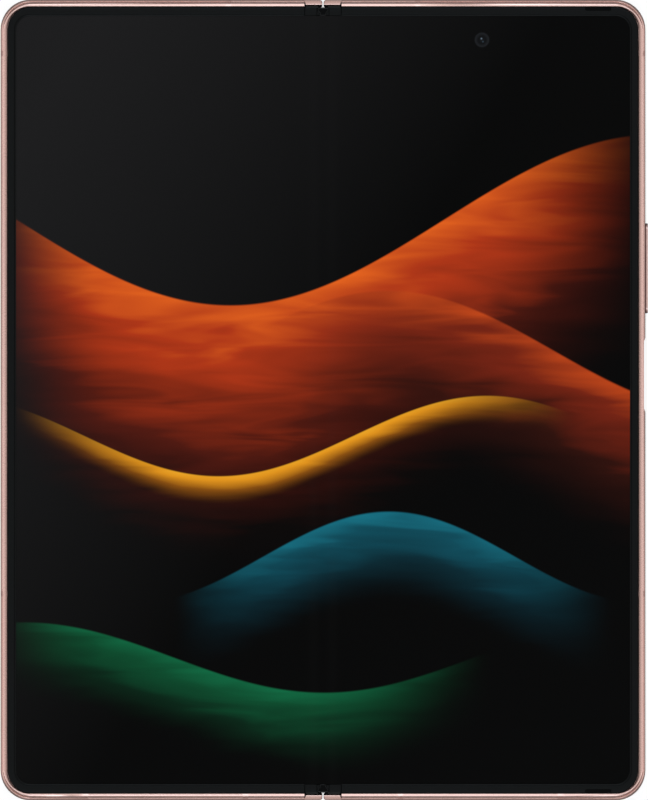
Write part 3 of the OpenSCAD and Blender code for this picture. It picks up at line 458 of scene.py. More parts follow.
def panelHaze(add, x, y):
    # A painted reflection in the panel's glow, a dim grey sheen a little lighter towards the upper left:
    # share = (slope * y - x) / reach
    rise = add("Math", {0: y, 1: haze["slope"]}, operation="MULTIPLY")
    across = add("Math", {0: rise, 1: x}, operation="SUBTRACT")
    share = add("MapRange", {"Value": across, "From Max": haze["reach"]})
    return add("ValToRGB", {"Fac": share}, zip((0, 1), haze["colours"]))


def addRibbon(add, x, y, place, ribbon, below):
    # Height of the upper edge = height + swing * sin((x - shift) / length); depth is counted down from it
    style, deep, length = ribbonStyle, ribbon["depth"], ribbon["length"]
    turn = add("Math", {0: x, 1: 1 / length, 2: -ribbon["shift"] / length}, operation="MULTIPLY_ADD")
    wave = add("Math", {0: turn}, operation="SINE")
    crest = add("Math", {0: wave, 1: ribbon["swing"], 2: ribbon["height"]}, operation="MULTIPLY_ADD")
    depth = add("Math", {0: crest, 1: y}, operation="SUBTRACT")
    # What shows of it: its crisp upper edge, its fade downwards, and its glow from left and right
    low, lowFull, highFull, high = ribbon["light"]
    mask = None
    for value, none, full in ((depth, 0, ribbon["edge"]), (depth, deep, deep * style["full"]),
                              (x, low, lowFull), (x, high, highFull)):
        part = add("MapRange", {"Value": value, "From Min": none, "From Max": full},
                   interpolation_type="SMOOTHSTEP")
        mask = add("Math", {0: mask, 1: part}, operation="MULTIPLY") if mask else part
    streaks = add("Mapping", {"Vector": place, "Scale": style["streaks"]})
    flow = add("TexNoise", {"Vector": streaks, "Scale": 1.0, "Detail": style["detail"],
                            "Distortion": style["twist"]})
    warped = add("Math", {0: flow, 1: deep * style["waver"], 2: depth}, operation="MULTIPLY_ADD")
    start, finish = (deep * share for share in style["colourSpan"])
    share = add("MapRange", {"Value": warped, "From Min": start, "From Max": finish})
    colour = add("ValToRGB", {"Fac": share}, zip(style["stops"], ribbon["colours"]))
    return add("Mix", {"Factor": mask, "A": below, "B": colour}, data_type="RGBA").outputs["Result"]


# The camera under the screen, seen through it: a disc, and two glints with their offsets from its middle
underLens = {"centre": (31.6, 71.6), "radius": 1.62, "edge": 0.25, "stops": (0.0, 0.45, 0.8, 1.0),
             "colours": ("#16181b", "#0b0c0e", "#1b1d20", "#0d0e0f"), "glint": (0.24, 0.08),
             "glints": ((-0.1, 0.25, "#5b6a77"), (0.2, -0.35, "#2d3a44"))}


def addLens(add, place, below):
    # The distance from the disc's middle, or from a glint's, picks the colour
    cx, cy = underLens["centre"]
    away = add("VectorMath", {0: place, 1: (cx, cy, 0)}, operation="DISTANCE").outputs["Value"]
    seen = discOver(add, away, underLens, 1, below)
    rim, full = underLens["glint"]
    for dx, dy, text in underLens["glints"]:
        spot = add("VectorMath", {0: place, 1: (cx + dx, cy + dy, 0)}, operation="DISTANCE")
        dot = add("MapRange", {"Value": spot.outputs["Value"], "From Min": rim, "From Max": full})
        seen = add("Mix", {"Factor": dot, "A": seen, "B": text}, data_type="RGBA").outputs["Result"]
    return seen


screenSheet = {"columns": 20, "rows": 60, "foldColumns": 24, "cornerSteps": 16, "crease": 0.05,
               "cornerRadius": 3.5}


def screenSlab(xIn, xOut, yMax, radius, mirrored):
    # At height y along the hinge the sheet runs from xIn to xOut less the corner's inset, radius -
    # sqrt(radius^2 - t^2), where t is how far y lies past the corner's centre. Its underside is level,
    # and near the hinge its top dips by crease * (1 + cos(pi * x / foldX)) / 2
    columns = screenSheet["columns"] if radius else screenSheet["foldColumns"]
    along, level = 2 * np.linspace(0, 1, screenSheet["rows"]) - 1, yMax - radius
    y = level * along
    if radius:
        arc = np.sin(np.linspace(0, math.pi / 2, screenSheet["cornerSteps"])) * radius
        y = np.concatenate([-level - arc[::-1], y[1:-1], level + arc])
    past = np.clip(np.abs(y) - level, 0, radius)
    reach = xOut - (radius - np.sqrt(np.maximum(radius ** 2 - past ** 2, 0)))
    share = np.linspace(0, 1, columns)
    x = xIn + (reach - xIn)[:, None] * share
    dip = screenSheet["crease"] * np.where(np.abs(x) < phone["foldX"],
                                           0.5 + 0.5 * np.cos(math.pi * x / phone["foldX"]), 0)
    top = gridPoints(x, y[:, None], phone["screenZ"] - dip)
    under = gridPoints(x, y[:, None], phone["screenBackZ"])
    return capped(np.concatenate([top, under[:, ::-1]], axis=1), mirrored)


def addPlan(piece):
    # UV map of the open screen: 200 mm to one unit, the hinge's middle at 0.5, 0.5
    mesh = piece.data
    corners = np.zeros(len(mesh.loops), int)
    mesh.loops.foreach_get("vertex_index", corners)
    flat = readPoints(mesh.vertices, "co")[corners, :2] / (uvSpan * mm) + 0.5
    mesh.uv_layers.new(name="screenPlan").data.foreach_set("uv", flat.ravel())


def buildScreen():
    film = foldingScreen()
    yMax = corner("display_right", 1, 1)
    yFold = corner("display_fold", 1, 1)
    xOut = corner("display_right", 1, 0)
    for side, mirrored in (("right", False), ("left", True)):
        part = screenSlab(phone["foldX"], xOut, yMax, screenSheet["cornerRadius"], mirrored)
        addPlan(makePiece("screen_" + side, [part], film, side + "_half", ["display_" + side]))
        fold = screenSlab(0, phone["foldX"], yFold, 0, mirrored)
        strip = makePiece("screen_fold_" + side, [fold], film, None, ["display_fold"])
        addPlan(strip)
        if mirrored:
            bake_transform(strip)
        else:
            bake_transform(strip)
    print("screen made")


# Insets of the bezel from the frame's outer face, then its lip (lipShape is the share across it and the
# drop below its top), the low stubs beside the hinge and the two pads, all in millimetres
bezel = {"out": 1.44, "sideWindow": 3.09, "endWindow": 3.25, "outRound": 0.18, "inRound": 0.3, "foot": 0.004,
         "start": 3.7, "cornerRadius": 2.9, "skirtSide": 2.44, "skirtEnd": 3.1, "skirtDrop": 0.2,
         "lip": 0.2, "lipFall": 0.16, "lipLap": 0.02, "lipShape": ((0.4, 0), (0.75, 0.06), (1, 0.22)),
         "stubIn": 1.2, "stubOut": 3.66, "stubUp": 0.35, "stubLap": 0.08, "stubGap": 0.1, "stubRound": 0.1,
         "padMiddle": 54.7, "padLength": 5.2, "padWidth": 0.8, "padUp": 0.2, "padDepth": 0.9, "padRound": 0.3}


def bezelPoint(u, z):
    # Insets, corner radius and height at the distance u inwards from the bezel's outer edge
    b, r = bezel, phone["cornerRadius"] - bezel["out"]
    f = u / (b["sideWindow"] - b["out"])
    return b["out"] + u, b["out"] + f * (b["endWindow"] - b["out"]), r + f * (b["cornerRadius"] - r), z


def lipProfile():
    # The soft lip along the bezel's inner edge, a strip that slopes down to the screen
    b, span = bezel, bezel["sideWindow"] - bezel["out"]
    start = span - b["lip"]
    top, foot = phone["bezelZ"] - b["lipFall"], phone["screenZ"] + b["foot"]
    places = [(start - b["lipLap"], foot), (start - b["lipLap"], top)]
    places += [(start + share * b["lip"], top - drop) for share, drop in b["lipShape"]]
    return [bezelPoint(u, z) for u, z in places + [(span, foot)]]


def bezelProfile():
    # Section across the bezel: u runs from the bead (0) to the lip (span), and the top edges are
    # quarter rounds
    b, span = bezel, bezel["sideWindow"] - bezel["out"] - bezel["lip"]
    top, foot, skirt = phone["bezelZ"], phone["screenZ"] + b["foot"], phone["screenBackZ"] - b["skirtDrop"]
    quarter = np.linspace(0, math.pi / 2, 5)
    outer = [(b["outRound"] * (1 - math.cos(a)), top - b["outRound"] * (1 - math.sin(a))) for a in quarter]
    inner = [(span - b["inRound"] * (1 - math.sin(a)), top - b["inRound"] * (1 - math.cos(a)))
             for a in quarter]
    rows = [bezelPoint(u, z) for u, z in [(0, skirt)] + outer + inner + [(span, foot)]]
    r = b["cornerRadius"] + b["sideWindow"] - b["skirtSide"]
    return rows + [(b["skirtSide"], b["skirtEnd"], r, z) for z in (foot, skirt)]


def buildBezels():
    plastic, soft = mouldedBezel(), mouldedLip()
    half, b, z = phone["halfHeight"], bezel, phone["screenZ"]
    for side, sign in (("right", 1), ("left", -1)):
        parts = [capped(outline(bezelProfile(), b["start"]), sign < 0)]
        x = b["stubIn"], b["stubOut"]
        y = half - b["endWindow"] + b["stubLap"], half - b["out"] - b["stubGap"]
        parts += [roundedBlock(sign, end, x, y, (z, z + b["stubUp"]), b["stubRound"]) for end in (-1, 1)]
        makePiece("bezel_" + side, parts, plastic, side + "_half", [side + "_bezel"])
        makePiece("bezel_lip_" + side, [capped(outline(lipProfile(), b["start"]), sign < 0)], soft,
                  side + "_half")
    x = b["padMiddle"] - b["padLength"] / 2, b["padMiddle"] + b["padLength"] / 2
    y = half - b["out"] - b["padWidth"], half - b["out"]
    top = phone["bezelZ"] + b["padUp"]
    pads = [roundedBlock(1, end, x, y, (top - b["padDepth"], top), b["padRound"]) for end in (-1, 1)]
    makePiece("rubber_pads", pads, siliconeRubber(), "right_half", ["bezel_pads"])
    print("bezels made")


# The raised bead's section, as distances from the outer face: the flat of its crest along the sides
# and along the ends. CAD has one round section all the way; here it leans out on the sides and in
# on the ends. The drops are how far the far side of the crest, the shoulder and the end pieces' own
# top fall, all in millimetres; slack is how near two heights or insets count as one
bead = {"outer": 0.52, "inner": 1.34, "crest": (0.80, 1.06), "foot": 8.36, "slack": 0.01, "cornerTip": 0.5,
        "sideCrest": (0.54, 0.64), "sideDrop": 0.38, "sidePower": 1.7,
        "endCrest": (0.86, 1.29), "endInner": 1.4, "endTilt": 0.15, "endRise": 0.46,
        "shoulderDrop": 0.2, "shoulderIn": 0.42, "shoulderLow": 8.0, "shoulderAtSide": 0.1,
        "endPieceDrop": 0.6, "endPieceIn": 1.5, "endTop": 8.2, "endRound": 0.4, "skinNear": 0.004}


def leanBead(points):
    # Distance u from the outer face = r - |p - c|, c the corner's centre, r its radius. The bead's
    # points move along the outward direction from u to leaned(u), a mix of the side's and the end's
    # curve by the share w = (angle from the x axis) / 90 degrees. Heights then follow, on the side
    # top - drop * f^power with f the share from the crest inwards; on the end a straight rise to the
    # crest and a slight fall beyond it
    b, r, top = bead, phone["cornerRadius"], phone["beadZ"]
    slack, farIn = b["slack"], 99
    px, py, z = np.abs(points[:, 0]), np.abs(points[:, 1]), points[:, 2]
    ox = np.maximum(px - phone["halfWidth"] + r, 0)
    oy = np.maximum(py - phone["halfHeight"] + r, 0)
    away = np.hypot(ox, oy)
    tiny = 1e-9         # keeps the divisions sound inside the corners' centres
    u = np.where(away > 0, r - away, farIn)
    w = np.arctan2(oy, np.maximum(ox, tiny)) / (math.pi / 2)
    marks = (b["outer"], *b["crest"], b["inner"])
    sideU = np.interp(u, marks, (b["outer"], *b["sideCrest"], b["inner"]))
    endU = np.interp(u, marks, (b["outer"], *b["endCrest"], b["endInner"]))
    rim = (z > b["foot"]) & (u >= b["outer"] - slack) & (u <= b["inner"] + slack)
    past = np.clip((sideU - b["sideCrest"][0]) / (b["inner"] - b["sideCrest"][0]), 0, 1)
    sideZ = np.where(u > b["crest"][0] - slack, top - b["sideDrop"] * past ** b["sidePower"], z)
    rise = np.clip((u - b["outer"]) / (b["crest"][0] - b["outer"]), 0, 1)
    endZ = np.where(u < b["crest"][0] + slack, top - b["endRise"] * (1 - rise), z)
    endZ = endZ - b["endTilt"] * np.maximum(endU - b["endCrest"][0], 0)
    shift = np.where(rim, u - sideU - (endU - sideU) * w, 0) / np.maximum(away, tiny)
    moved = points.copy()
    moved[:, 0] += np.sign(points[:, 0]) * ox * shift
    moved[:, 1] += np.sign(points[:, 1]) * oy * shift
    moved[:, 2] = np.where(rim, top - (top - sideZ) * np.sqrt(1 - w) - (top - endZ) * np.sqrt(w), z)
    # In the corners the whole crest also tips outwards, most of all half way round
    halfWay = 2 * ox * oy / np.maximum(away ** 2, tiny)
    moved[:, 2] -= np.where(rim, b["cornerTip"] * halfWay * (b["inner"] - u), 0)
    # The shoulder falls outwards, on the ends by its whole drop and on the sides by a small share
    beside = px > bezel["start"] - slack
    shoulder = (z > b["shoulderLow"]) & (z < b["foot"]) & (u < b["shoulderIn"]) & (u > -slack) & beside
    drop = b["shoulderDrop"] * (b["shoulderAtSide"] + (1 - b["shoulderAtSide"]) * w)
    moved[:, 2] -= np.where(shoulder, drop * (1 - u / b["shoulderIn"]), 0)
    # The end pieces' own top, flat at endTop with a quarter round outwards, sinks under the new blocks
    outward = np.clip(b["endRound"] - u, 0, b["endRound"])
    skin = b["endTop"] - b["endRound"] + np.sqrt(b["endRound"] ** 2 - outward ** 2)
    low = (px < bezel["start"] + slack) & (u < b["endPieceIn"]) & (np.abs(z - skin) < b["skinNear"])
    moved[:, 2] = np.where(low, z - b["endPieceDrop"], moved[:, 2])
    return moved


def coverBead(piece, material):
    # The raised bead is finished in one go, so the bands show on the shoulder and the outer face alone
    mesh = piece.data
    mesh.materials.append(material)
    onBead = (readPoints(mesh.polygons, "center")[:, 2] > bead["foot"] * mm).astype(np.int32)
    mesh.polygons.foreach_set("material_index", onBead)


def buildMetal():
    metal, band = anodisedAluminium(), mouldedBand()
    for side in ("right", "left"):
        finishedCopy(side + "_frame", "frame_" + side, metal, reshape=leanBead)
        coverBead(finishedCopy(side + "_antenna_bands", "bands_" + side, band, reshape=leanBead), metal)
    pieces = [      # each with the round along its edges, in millimetres
        ("volume_key", "key_volume", polishedKeyMetal(), 0.1),
        ("power_key", "key_power", metal, 0.08),
        ("sim_tray", "card_tray", metal, 0.08),
        ("hinge_cover", "hinge_spine", metal, 0.0),
    ]
    for piece in pieces:
        finishedCopy(*piece)
    print("metal pieces made")


# The low metal pieces beside the hinge: in, the gap between them; out, where the dark strip starts; touch and
# touchDepth, where the outer part meets the frame. Then the dark strips of painted shade in the gaps, and the
# grey gasket
endPiece = {"in": 0.13, "planRadius": 0.62, "gapRound": 0.12, "out": 3.42, "touch": 3.68, "touchDepth": 0.5,
            "touchRun": 0.1, "face": 0.01, "inner": 1.06, "top": 8.25, "depth": 1.7, "innerRound": 0.12,
            "outerRound": 0.4, "slope": 0.5, "closing": (0.6, 0.25, 0.02),
            "jointTop": 7.8, "jointInner": 1.42, "jointGap": 0.03, "jointLap": 0.02, "jointRound": 0.05,
            "gasketIn": 0.95, "gasketOut": 3.45, "gasketFace": 1.34, "gasketInner": 1.6, "gasketLow": 7.9,
            "gasketTop": 8.32, "gasketRound": 0.06}


def endBlock():
    # Section, as insets u from the outer face and heights: a small round at the inner edge, a slope
    # down outwards, a larger round at the outer face. It is carried along x from the frame to the
    # gap, where it lies at x = in + r - sqrt(r^2 - (r - u)^2) while u < r, and shrinks to its middle
    e = endPiece
    lean, low = math.atan(e["slope"]), e["top"] - e["depth"]
    tilt = np.linspace(-math.pi / 2, lean, 8)
    inner = np.stack([e["inner"] - e["innerRound"] * (1 + np.sin(tilt)),
                      e["top"] - e["innerRound"] * (1 - np.cos(tilt))], 1)
    tilt = np.linspace(lean, math.pi / 2, 7)
    outer = np.stack([e["face"] + e["outerRound"] * (1 - np.sin(tilt)), e["outerRound"] * np.cos(tilt)], 1)
    outer[:, 1] += inner[-1, 1] - e["slope"] * (inner[-1, 0] - outer[0, 0]) - outer[0, 1]
    section = np.concatenate([[(e["inner"], low)], inner, outer, [(e["face"], low)]])
    middle = section.mean(0)
    shrink = inwards(section, e["gapRound"])

    def gapEnd(ring):
        past = np.clip(e["planRadius"] - ring[:, 0], 0, e["planRadius"])
        return e["in"] + e["planRadius"] - np.sqrt(e["planRadius"] ** 2 - past ** 2)

    def frameEnd(ring):
        depths = e["touchDepth"], e["touchDepth"] + e["touchRun"]
        return np.interp(ring[:, 0], depths, (e["touch"], e["out"]))

    rings = [(frameEnd(ring), ring) for ring in (middle + (section - middle) * k for k in (0.02, 0.5))]
    start, finish = frameEnd(section), gapEnd(section) + e["gapRound"]
    rings += [(start + (finish - start) * share, section) for share in np.linspace(0, 1, 8)]
    for turn in np.linspace(math.pi / 2, 0, 6)[1:]:
        ring = section + shrink * (1 - math.sin(turn))
        rings.append((gapEnd(ring) + e["gapRound"] * (1 - math.cos(turn)), ring))
    rings += [(gapEnd(inside), inside) for inside in (middle + (ring - middle) * k for k in e["closing"])]
    return np.stack([np.stack([x, phone["halfHeight"] - ring[:, 0], ring[:, 1]], 1) for x, ring in rings])


# Black infill between the cap's wedge and the bezel's ends: its plan from the wedge's inner corner, how
# far it laps under the bezel's end, and its soft upper edge
capWing = {"outline": ((0.66, 0.05), (0.66, 0.5), (1.08, 0.95), (1.17, 0.95), (1.17, 0.05)), "lap": 0.1,
           "low": 7.15, "top": 8.32, "soft": 0.05}


def capInfill(sign, end):
    # The outline at three heights, the last drawn in towards its middle by the soft edge
    w = capWing
    plan = np.array(w["outline"]) + (0, phone["halfHeight"] - bezel["endWindow"] + w["lap"])
    rows = [(plan, w["low"]), (plan, w["top"] - w["soft"]), (plan + inwards(plan, w["soft"]), w["top"])]
    return np.stack([np.column_stack([row * (sign, end), np.full(len(row), z)]) for row, z in rows])


def buildHinge():
    # Painted highlight: the caps' bevelled edges get a lighter grey, standing in for the light they catch
    edgePlastic = plainFinish("rubbed cap edge", "#1d1e1e", "#232424", 0.4, 0.0, 0.3, 0.0005)
    finishedCopy("hinge_end_caps", "hinge_caps", mouldedCap(), 0.07, edgeMaterial=edgePlastic)
    metal, gasket, dark, plastic = anodisedAluminium(), siliconeGasket(), siliconeRubber(), mouldedBezel()
    e, half = endPiece, phone["halfHeight"]
    out, jointEnd = bezel["start"] - e["jointGap"], half - e["jointInner"]
    heights = e["top"] - e["depth"], e["jointTop"]
    for side, sign in (("right", 1), ("left", -1)):
        blocks, strips, joints, infills = [], [], [], []
        for end in (-1, 1):
            blocks.append(capped(endBlock() * (sign, end, 1)))
            infills.append(capped(capInfill(sign, end)))
            for x, y in (((e["in"], out), (half - e["inner"] + e["jointLap"], jointEnd)),
                         ((e["out"] - e["jointLap"], out), (half - e["touchDepth"], jointEnd))):
                joints.append(roundedBlock(sign, end, x, y, heights, e["jointRound"], 3))
            x, y = (e["gasketIn"], e["gasketOut"]), (half - e["gasketFace"], half - e["gasketInner"])
            z = e["gasketLow"], e["gasketTop"]
            strips.append(roundedBlock(sign, end, x, y, z, e["gasketRound"], 3))
        makePiece("hinge_end_pieces_" + side, blocks, metal, side + "_half")
        makePiece("hinge_gaskets_" + side, strips, gasket, side + "_half")
        # Painted shade: dark rubber strips fill the gaps beside the end pieces, where shade falls
        makePiece("hinge_joints_" + side, joints, dark, side + "_half")
        makePiece("hinge_infills_" + side, infills, plastic, "spine")
    print("hinge made")


# The lenses, from the top: centre height, radius of the barrel's mouth, radius of the glass in it. A
# baffle's section is in distances from its outer edge; each of them lies baffleStep further in
lenses = {"x": 52.3, "heights": (66.4, 53.4, 40.4), "mouths": (3.2, 3.7, 3.0), "glass": (1.7, 2.3, 1.8),
          "front": 0.8, "glassFront": 1.15, "sag": 0.3, "glassBack": 1.75, "tip": 0.02,
          "baffles": (0.0, 0.4, 0.75), "baffleStep": 0.35,
          "baffle": ((0, 0), (-0.18, 0), (-0.26, 0.1), (-0.26, 0.3), (0, 0.3))}
flashLens = {"groove": 0.25, "grooveDepth": 0.02, "warm": (0.5, 1.3), "colours": ("#f2dc7a", "#f3eed8")}
outerCamera = {"centre": (-32.05, 72.6), "radius": 1.9, "edge": 0.05, "stops": (0.0, 0.3, 0.56, 0.6, 0.66),
               "colours": ("#22304e", "#0c1222", "#020202", "#2a2c2e", "#020202")}


# Flat sapphire cover: clear, so the barrel and its coated lens show through
def lensCoverGlass():
    material, shader = newMaterial("clear sapphire cover", "#f4f6f8", 0.02)[:2]
    feed(shader, {"Transmission Weight": 1.0, "IOR": 1.6})
    return material


# Coated lens: black inside, with a thin film that turns its reflections green and violet
def coatedLens():
    material, shader, add = newMaterial("coated camera lens", "#05060a", 0.03, 0.0, 0.8, 0.5)
    facing = add("LayerWeight", {"Blend": 0.35}).outputs["Facing"]
    tint = add("ValToRGB", {"Fac": facing}, [(0.0, "#0a0d16"), (0.45, "#181a34"), (0.8, "#123026")])
    feed(shader, {"Base Color": tint, "Thin Film Thickness": 420, "Thin Film IOR": 1.38})
    return material


# Flash lens: warm frosted plastic with fine concentric grooves
def frostedFlash():
    material, shader, add = newMaterial("grooved flash lens", "#efe7c4", 0.28)
    f = flashLens
    away = awayFrom(add, (lenses["x"], (corner("flash_led", 0, 1) + corner("flash_led", 1, 1)) / 2))
    wave = waves(add, away, f["groove"])
    relief = add("Bump", {"Height": wave, "Strength": 1.0, "Distance": f["grooveDepth"] * mm})
    tint = add("MapRange", {"Value": away, "From Min": f["warm"][0] * mm, "From Max": f["warm"][1] * mm})
    feed(shader, {"Normal": relief, "Base Color": add("ValToRGB", {"Fac": tint}, zip((0, 1), f["colours"]))})
    return material


# Outer glass: polished black, the display under it a trace lighter, with its camera in a dark ring
def outerGlass():
    material, shader, add = newMaterial("polished outer glass", "#060708", 0.06, 0.0, 0.5, 0.3)
    axes, soft = objectAxes(add), outerCamera["edge"] * mm
    low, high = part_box("cover_display")
    share = None
    for axis, edge, way in ((0, low[0], soft), (0, high[0], -soft), (1, low[1], soft), (1, high[1], -soft)):
        inside = add("MapRange", {"Value": axes[axis], "From Min": edge - way, "From Max": edge + way})
        share = add("Math", {0: share, 1: inside}, operation="MULTIPLY") if share else inside
    panel = add("ValToRGB", {"Fac": share}, [(0.0, "#050505"), (1.0, "#0c0e11")])
    away = awayFrom(add, outerCamera["centre"])
    feed(shader, {"Base Color": discOver(add, away, outerCamera, mm, panel)})
    return material


def buildBack():
    ring = plainFinish("turned lens ring", "#b08a7e", "#bb968a", 0.25, 1.0, 0.2, 0.0005, (1, 1, 6))
    pieces = [      # each with the round along its edges, in millimetres
        ("right_back_glass", "back_glass", etchedGlass(), 0.1),
        ("cover_glass", "outer_glass", outerGlass(), 0.1),
        ("camera_frame", "island_frame", anodisedAluminium(), 0.15),
        ("camera_glass", "island_glass", polishedGlass(), 0.05),
        ("lens_rings", "rings_of_lenses", ring, 0.12),
        ("lens_covers", "covers_of_lenses", lensCoverGlass(), 0.0),
        ("flash_led", "flash_lens", frostedFlash(), 0.08),
    ]
    for piece in pieces:
        finishedCopy(*piece)
    barrel = plainFinish("blackened lens barrel", "#0a0b0c", "#101112", 0.4, 0.0, 0.2, 0.001)
    elements, baffles = [], []
    n = lenses
    for height, mouth, radius in zip(n["heights"], n["mouths"], n["glass"]):
        # Front of the glass: height z = glassFront + sag * (r / radius)^2
        centre = n["x"], height
        r = np.linspace(n["tip"], radius, 14)
        dome = list(zip(r, n["glassFront"] + n["sag"] * (r / radius) ** 2))
        elements.append(turned(dome + [(radius, n["glassBack"]), (n["tip"], n["glassBack"])], centre))
        for share in n["baffles"]:
            edge = np.array((mouth + (radius - mouth) * share, n["front"] + n["baffleStep"] * share))
            baffles.append(turned(edge + n["baffle"], centre, ring=True))
    makePiece("camera_lenses", elements, coatedLens(), "right_half")
    makePiece("camera_baffles", baffles, barrel, "right_half", smooth=25)
    print("back made")


# The socket's gold contacts in millimetres, and where on their wave the plastic turns to gold
contacts = {"pitch": 0.5, "gold": (0.1, 0.2), "colours": ("#141517", "#d8ab57")}


# Tongue of the socket: black plastic with gold contacts
def goldContacts():
    material, shader, add = newMaterial("socket tongue with gold contacts", contacts["colours"][0], 0.4)
    wave, (none, full) = waves(add, objectAxes(add)[0], contacts["pitch"]), contacts["gold"]
    metal = add("MapRange", {"Value": wave, "From Min": none, "From Max": full})
    colour = add("ValToRGB", {"Fac": metal}, zip((0, 1), contacts["colours"]))
    feed(shader, {"Base Color": colour, "Metallic": metal})
    return material


flex = {"middles": (-24.0, 24.0), "width": 12.0, "thick": 0.12, "bend": 5.5, "end": 13.9, "low": 5.46,
        "rise": 1.2, "socketEdges": 0.05}


def buildCircuits():
    f = flex
    shell = plainFinish("drawn steel shell", "#a9acaf", "#b5b8bb", 0.3, 1.0, 0.3, 0.001)
    finishedCopy("usb_c_tongue", "socket_tongue", goldContacts(), f["socketEdges"])
    finishedCopy("usb_c_shell", "socket_shell", shell, f["socketEdges"])
    film = plainFinish("polyimide ribbon", "#a8691f", "#b9782c", 0.32, 0.0, 2.0, 0.002)
    for side, sign in (("right", 1), ("left", -1)):
        # Underside height z = low + rise * (1 - cos(180 degrees * x / bend)) / 2 up to the bend, then level
        x = np.concatenate([np.linspace(0, f["bend"], 26), np.linspace(f["bend"], f["end"], 8)[1:]])
        z = f["low"] + f["rise"] * (1 - np.cos(math.pi * np.minimum(x / f["bend"], 1))) / 2
        across = np.array([-0.5, 0.5, 0.5, -0.5]) * f["width"]
        parts = []
        for middle in f["middles"]:
            height = z[:, None] + np.array([0, 0, 1, 1]) * f["thick"]
            parts.append(capped(gridPoints(sign * x[:, None], middle + across, height)))
        ribbon = makePiece("hinge_ribbons_" + side, parts, film, None, ["hinge_flex_cables"])
        if sign > 0:
            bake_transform(ribbon)
        else:
            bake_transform(ribbon)
    print("circuits made")


# The slots whose finish is two close colours and a grain, with what each gives the eye
plainLooks = {
    "steel": ("rolled steel sheet", "#b9bcbf", "#c6c9cb", 0.32, 1.0, 0.25, 0.002, (1, 12, 1)),  # drawn grey
    "gear_brass": ("sintered gear bronze", "#c5a15e", "#d0ad6c", 0.38, 1.0, 0.15, 0.003),  # dull yellow
    "hinge_black": ("moulded black nylon", "#151617", "#1b1c1d", 0.45, 0.0, 0.3, 0.003),  # dull black
    "lens_metal": ("turned lens metal", "#b08a7e", "#bb968a", 0.28, 1.0, 0.2, 0.001),  # satin bronze
    "camera_black": ("blackened camera barrel", "#0e1012", "#15181a", 0.5, 0.0, 0.2, 0.004),  # matt black
    "flash_lens": ("frosted flash lens", "#efe7c4", "#f6f0d6", 0.3, 0.0, 0.5, 0.01),  # cloudy warm white
    "circuit_board": ("green solder mask", "#0f4a33", "#17603f", 0.35, 0.0, 0.8, 0.01),  # deep satin green
    "shield_can": ("tinned shield can", "#aeb2b6", "#bcc0c3", 0.3, 1.0, 0.9, 0.004),  # soft metal grey
    "battery_wrap": ("battery foil wrap", "#3c3f43", "#46494d", 0.42, 0.2, 3.0, 0.02),  # dark satin foil
    "coil_copper": ("etched copper coil", "#b0713f", "#bd7f4c", 0.3, 1.0, 0.4, 0.01),  # bright copper
    "flex_amber": ("polyimide film", "#a8691f", "#b9782c", 0.3, 0.0, 2.0, 0.004),  # glossy amber
    "module_grey": ("moulded speaker box", "#35373a", "#3f4144", 0.5, 0.0, 0.4, 0.004),  # flat dark grey
    "magnet": ("nickel-plated magnet", "#8f9296", "#9b9ea1", 0.25, 1.0, 0.6, 0.001),  # bright grey
}


def dressNodes():
    # Each CAD node gets the finish of its slot, also where a new piece stands for it
    finishes = {slot: plainFinish(*look) for slot, look in plainLooks.items()}
    finishes.update({
        "anodised_frame": anodisedAluminium(),
        "antenna_band": mouldedBand(),
        "bezel_black": mouldedBezel(),
        "rubber_black": siliconeRubber(),
        "back_glass": etchedGlass(),
        "black_glass": polishedGlass(),
        "screen": polishedGlass(),
    })
    for name, node in frame["nodes"].items():
        node.data.materials.clear()
        node.data.materials.append(finishes[slotOf[name]])
    print("nodes dressed")


# The camera's frame is the photo's, square on and from far away. World gives the room's radiance by
# height, from level (0) to straight up (1), the bank the two soft lamps beyond the phone's top and bottom
stage = {"cameraDistance": 3.0, "photoPixelsPerMm": 5.03, "photoHeight": 800, "cameraX": 0.2, "sensor": 36.0,
         "world": ((0.0, 0.38), (0.4, 0.45), (0.77, 0.88), (0.94, 1.1), (0.991, 1.14), (0.9965, 0.05)),
         "roomCorners": 0.3, "cornersFrom": 0.97, "cornersFull": 0.86,
         "bankRadiance": 1.8, "bankSize": 0.5, "bankPlace": 0.5, "bankHeight": 1.0, "bankColour": "#cbedff",
         "floorHalf": 6, "floorZ": -0.0002, "floorPaint": "#9c9c9c", "floorSeen": "#9a9a9a",
         "floorGlow": 0.83, "clip": (0.1, 20.0)}


def addCamera(scene):
    camera = bpy.data.cameras.new("camera")
    camera.sensor_width = stage["sensor"]
    seen = stage["photoHeight"] / stage["photoPixelsPerMm"] * mm
    camera.lens = stage["sensor"] * stage["cameraDistance"] / seen
    camera.clip_start, camera.clip_end = stage["clip"]
    holder = bpy.data.objects.new("camera", camera)
    holder.location = (stage["cameraX"] * mm, 0, stage["cameraDistance"] + phone["screenZ"] * mm)
    scene.collection.objects.link(holder)
    scene.camera = holder


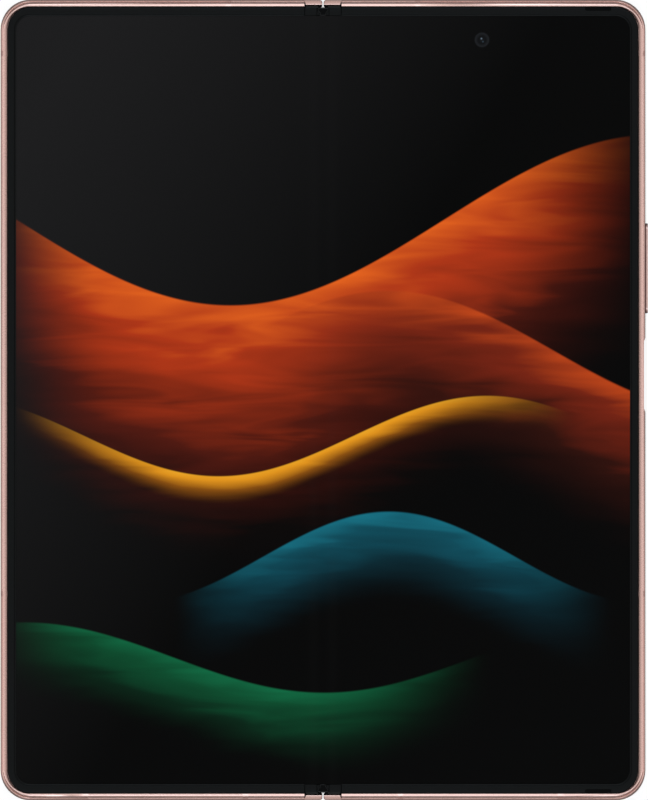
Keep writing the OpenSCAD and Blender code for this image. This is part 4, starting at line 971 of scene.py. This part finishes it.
def addFloor(scene):
    # Grey to what it lights and almost white to the eye, and the phone's shadow stays on it
    mesh = bpy.data.meshes.new("floor")
    half, z = stage["floorHalf"], stage["floorZ"]
    places = (-half, -half, z), (half, -half, z), (half, half, z), (-half, half, z)
    mesh.from_pydata(places, [], [(0, 1, 2, 3)])
    floor = bpy.data.objects.new("floor", mesh)
    scene.collection.objects.link(floor)
    material = bpy.data.materials.new("white studio floor")
    material.use_nodes = True
    material.node_tree.nodes.clear()
    add = partial(addNode, material.node_tree)
    ray = add("LightPath")
    seen = add("Math", {0: ray.outputs["Is Camera Ray"], 1: ray.outputs["Is Transmission Ray"]},
               operation="MAXIMUM")
    paint = add("BsdfDiffuse", {"Color": stage["floorPaint"]})
    shade = add("BsdfDiffuse", {"Color": stage["floorSeen"]})
    glow = add("Emission", {"Color": "#ffffff", "Strength": stage["floorGlow"]})
    bright = add("AddShader", {0: shade, 1: glow})
    add("OutputMaterial", {"Surface": add("MixShader", {0: seen, 1: paint, 2: bright})})
    mesh.materials.append(material)


def addRoom(scene):
    # The room is darker towards its four corners, below the ceiling's bright middle:
    # share = (x y / (x^2 + y^2))^2, which is 0.25 at a corner
    world = bpy.data.worlds.new("studio")
    scene.world = world
    world.use_nodes = True
    world.node_tree.nodes.clear()
    add = partial(addNode, world.node_tree)
    x, y, z = add("SeparateXYZ", {0: add("TexCoord").outputs["Generated"]}).outputs
    level = add("ValToRGB", {"Fac": z}, [(up, [value] * 3 + [1]) for up, value in stage["world"]])
    across = add("Math", {0: x, 1: y}, operation="MULTIPLY")
    up = add("Math", {0: z, 1: z}, operation="MULTIPLY")
    flat = add("Math", {0: 1.0, 1: up}, operation="SUBTRACT")
    slant = add("Math", {0: across, 1: flat}, operation="DIVIDE")
    share = add("Math", {0: slant, 1: slant}, operation="MULTIPLY")
    wall = add("MapRange", {"Value": z, "From Min": stage["cornersFrom"], "From Max": stage["cornersFull"]})
    shade = add("Math", {0: share, 1: wall}, operation="MULTIPLY")
    dim = add("MapRange", {"Value": shade, "From Max": 0.25, "To Min": 1.0, "To Max": stage["roomCorners"]})
    room = add("Background", {"Color": level, "Strength": dim})
    white = add("Background", {"Color": "#ffffff", "Strength": 1.0})
    ray = add("LightPath")
    mixed = add("MixShader", {0: ray.outputs["Is Camera Ray"], 1: room, 2: white})
    add("OutputWorld", {"Surface": mixed})


def addBanks(scene):
    # Lamp power = radiance * pi * area
    for sign in (-1, 1):
        bank = bpy.data.lights.new("bank", "AREA")
        bank.shape, bank.size, bank.size_y = "RECTANGLE", stage["bankSize"], stage["bankSize"]
        bank.energy = stage["bankRadiance"] * math.pi * stage["bankSize"] ** 2
        bank.color = linearColour(stage["bankColour"])[:3]
        lamp = bpy.data.objects.new("bank", bank)
        lamp.location = (0, sign * stage["bankPlace"], stage["bankHeight"])
        lamp.rotation_euler = (-sign * math.atan2(stage["bankPlace"], stage["bankHeight"]), 0, 0)
        lamp.visible_camera = False
        scene.collection.objects.link(lamp)


def buildStage():
    scene = bpy.context.scene
    for add in (addCamera, addFloor, addRoom, addBanks):
        add(scene)
    scene.view_settings.view_transform = "Standard"
    print("stage made")


dressNodes()
buildScreen()
buildBezels()
buildMetal()
buildHinge()
buildBack()
buildCircuits()
buildStage()
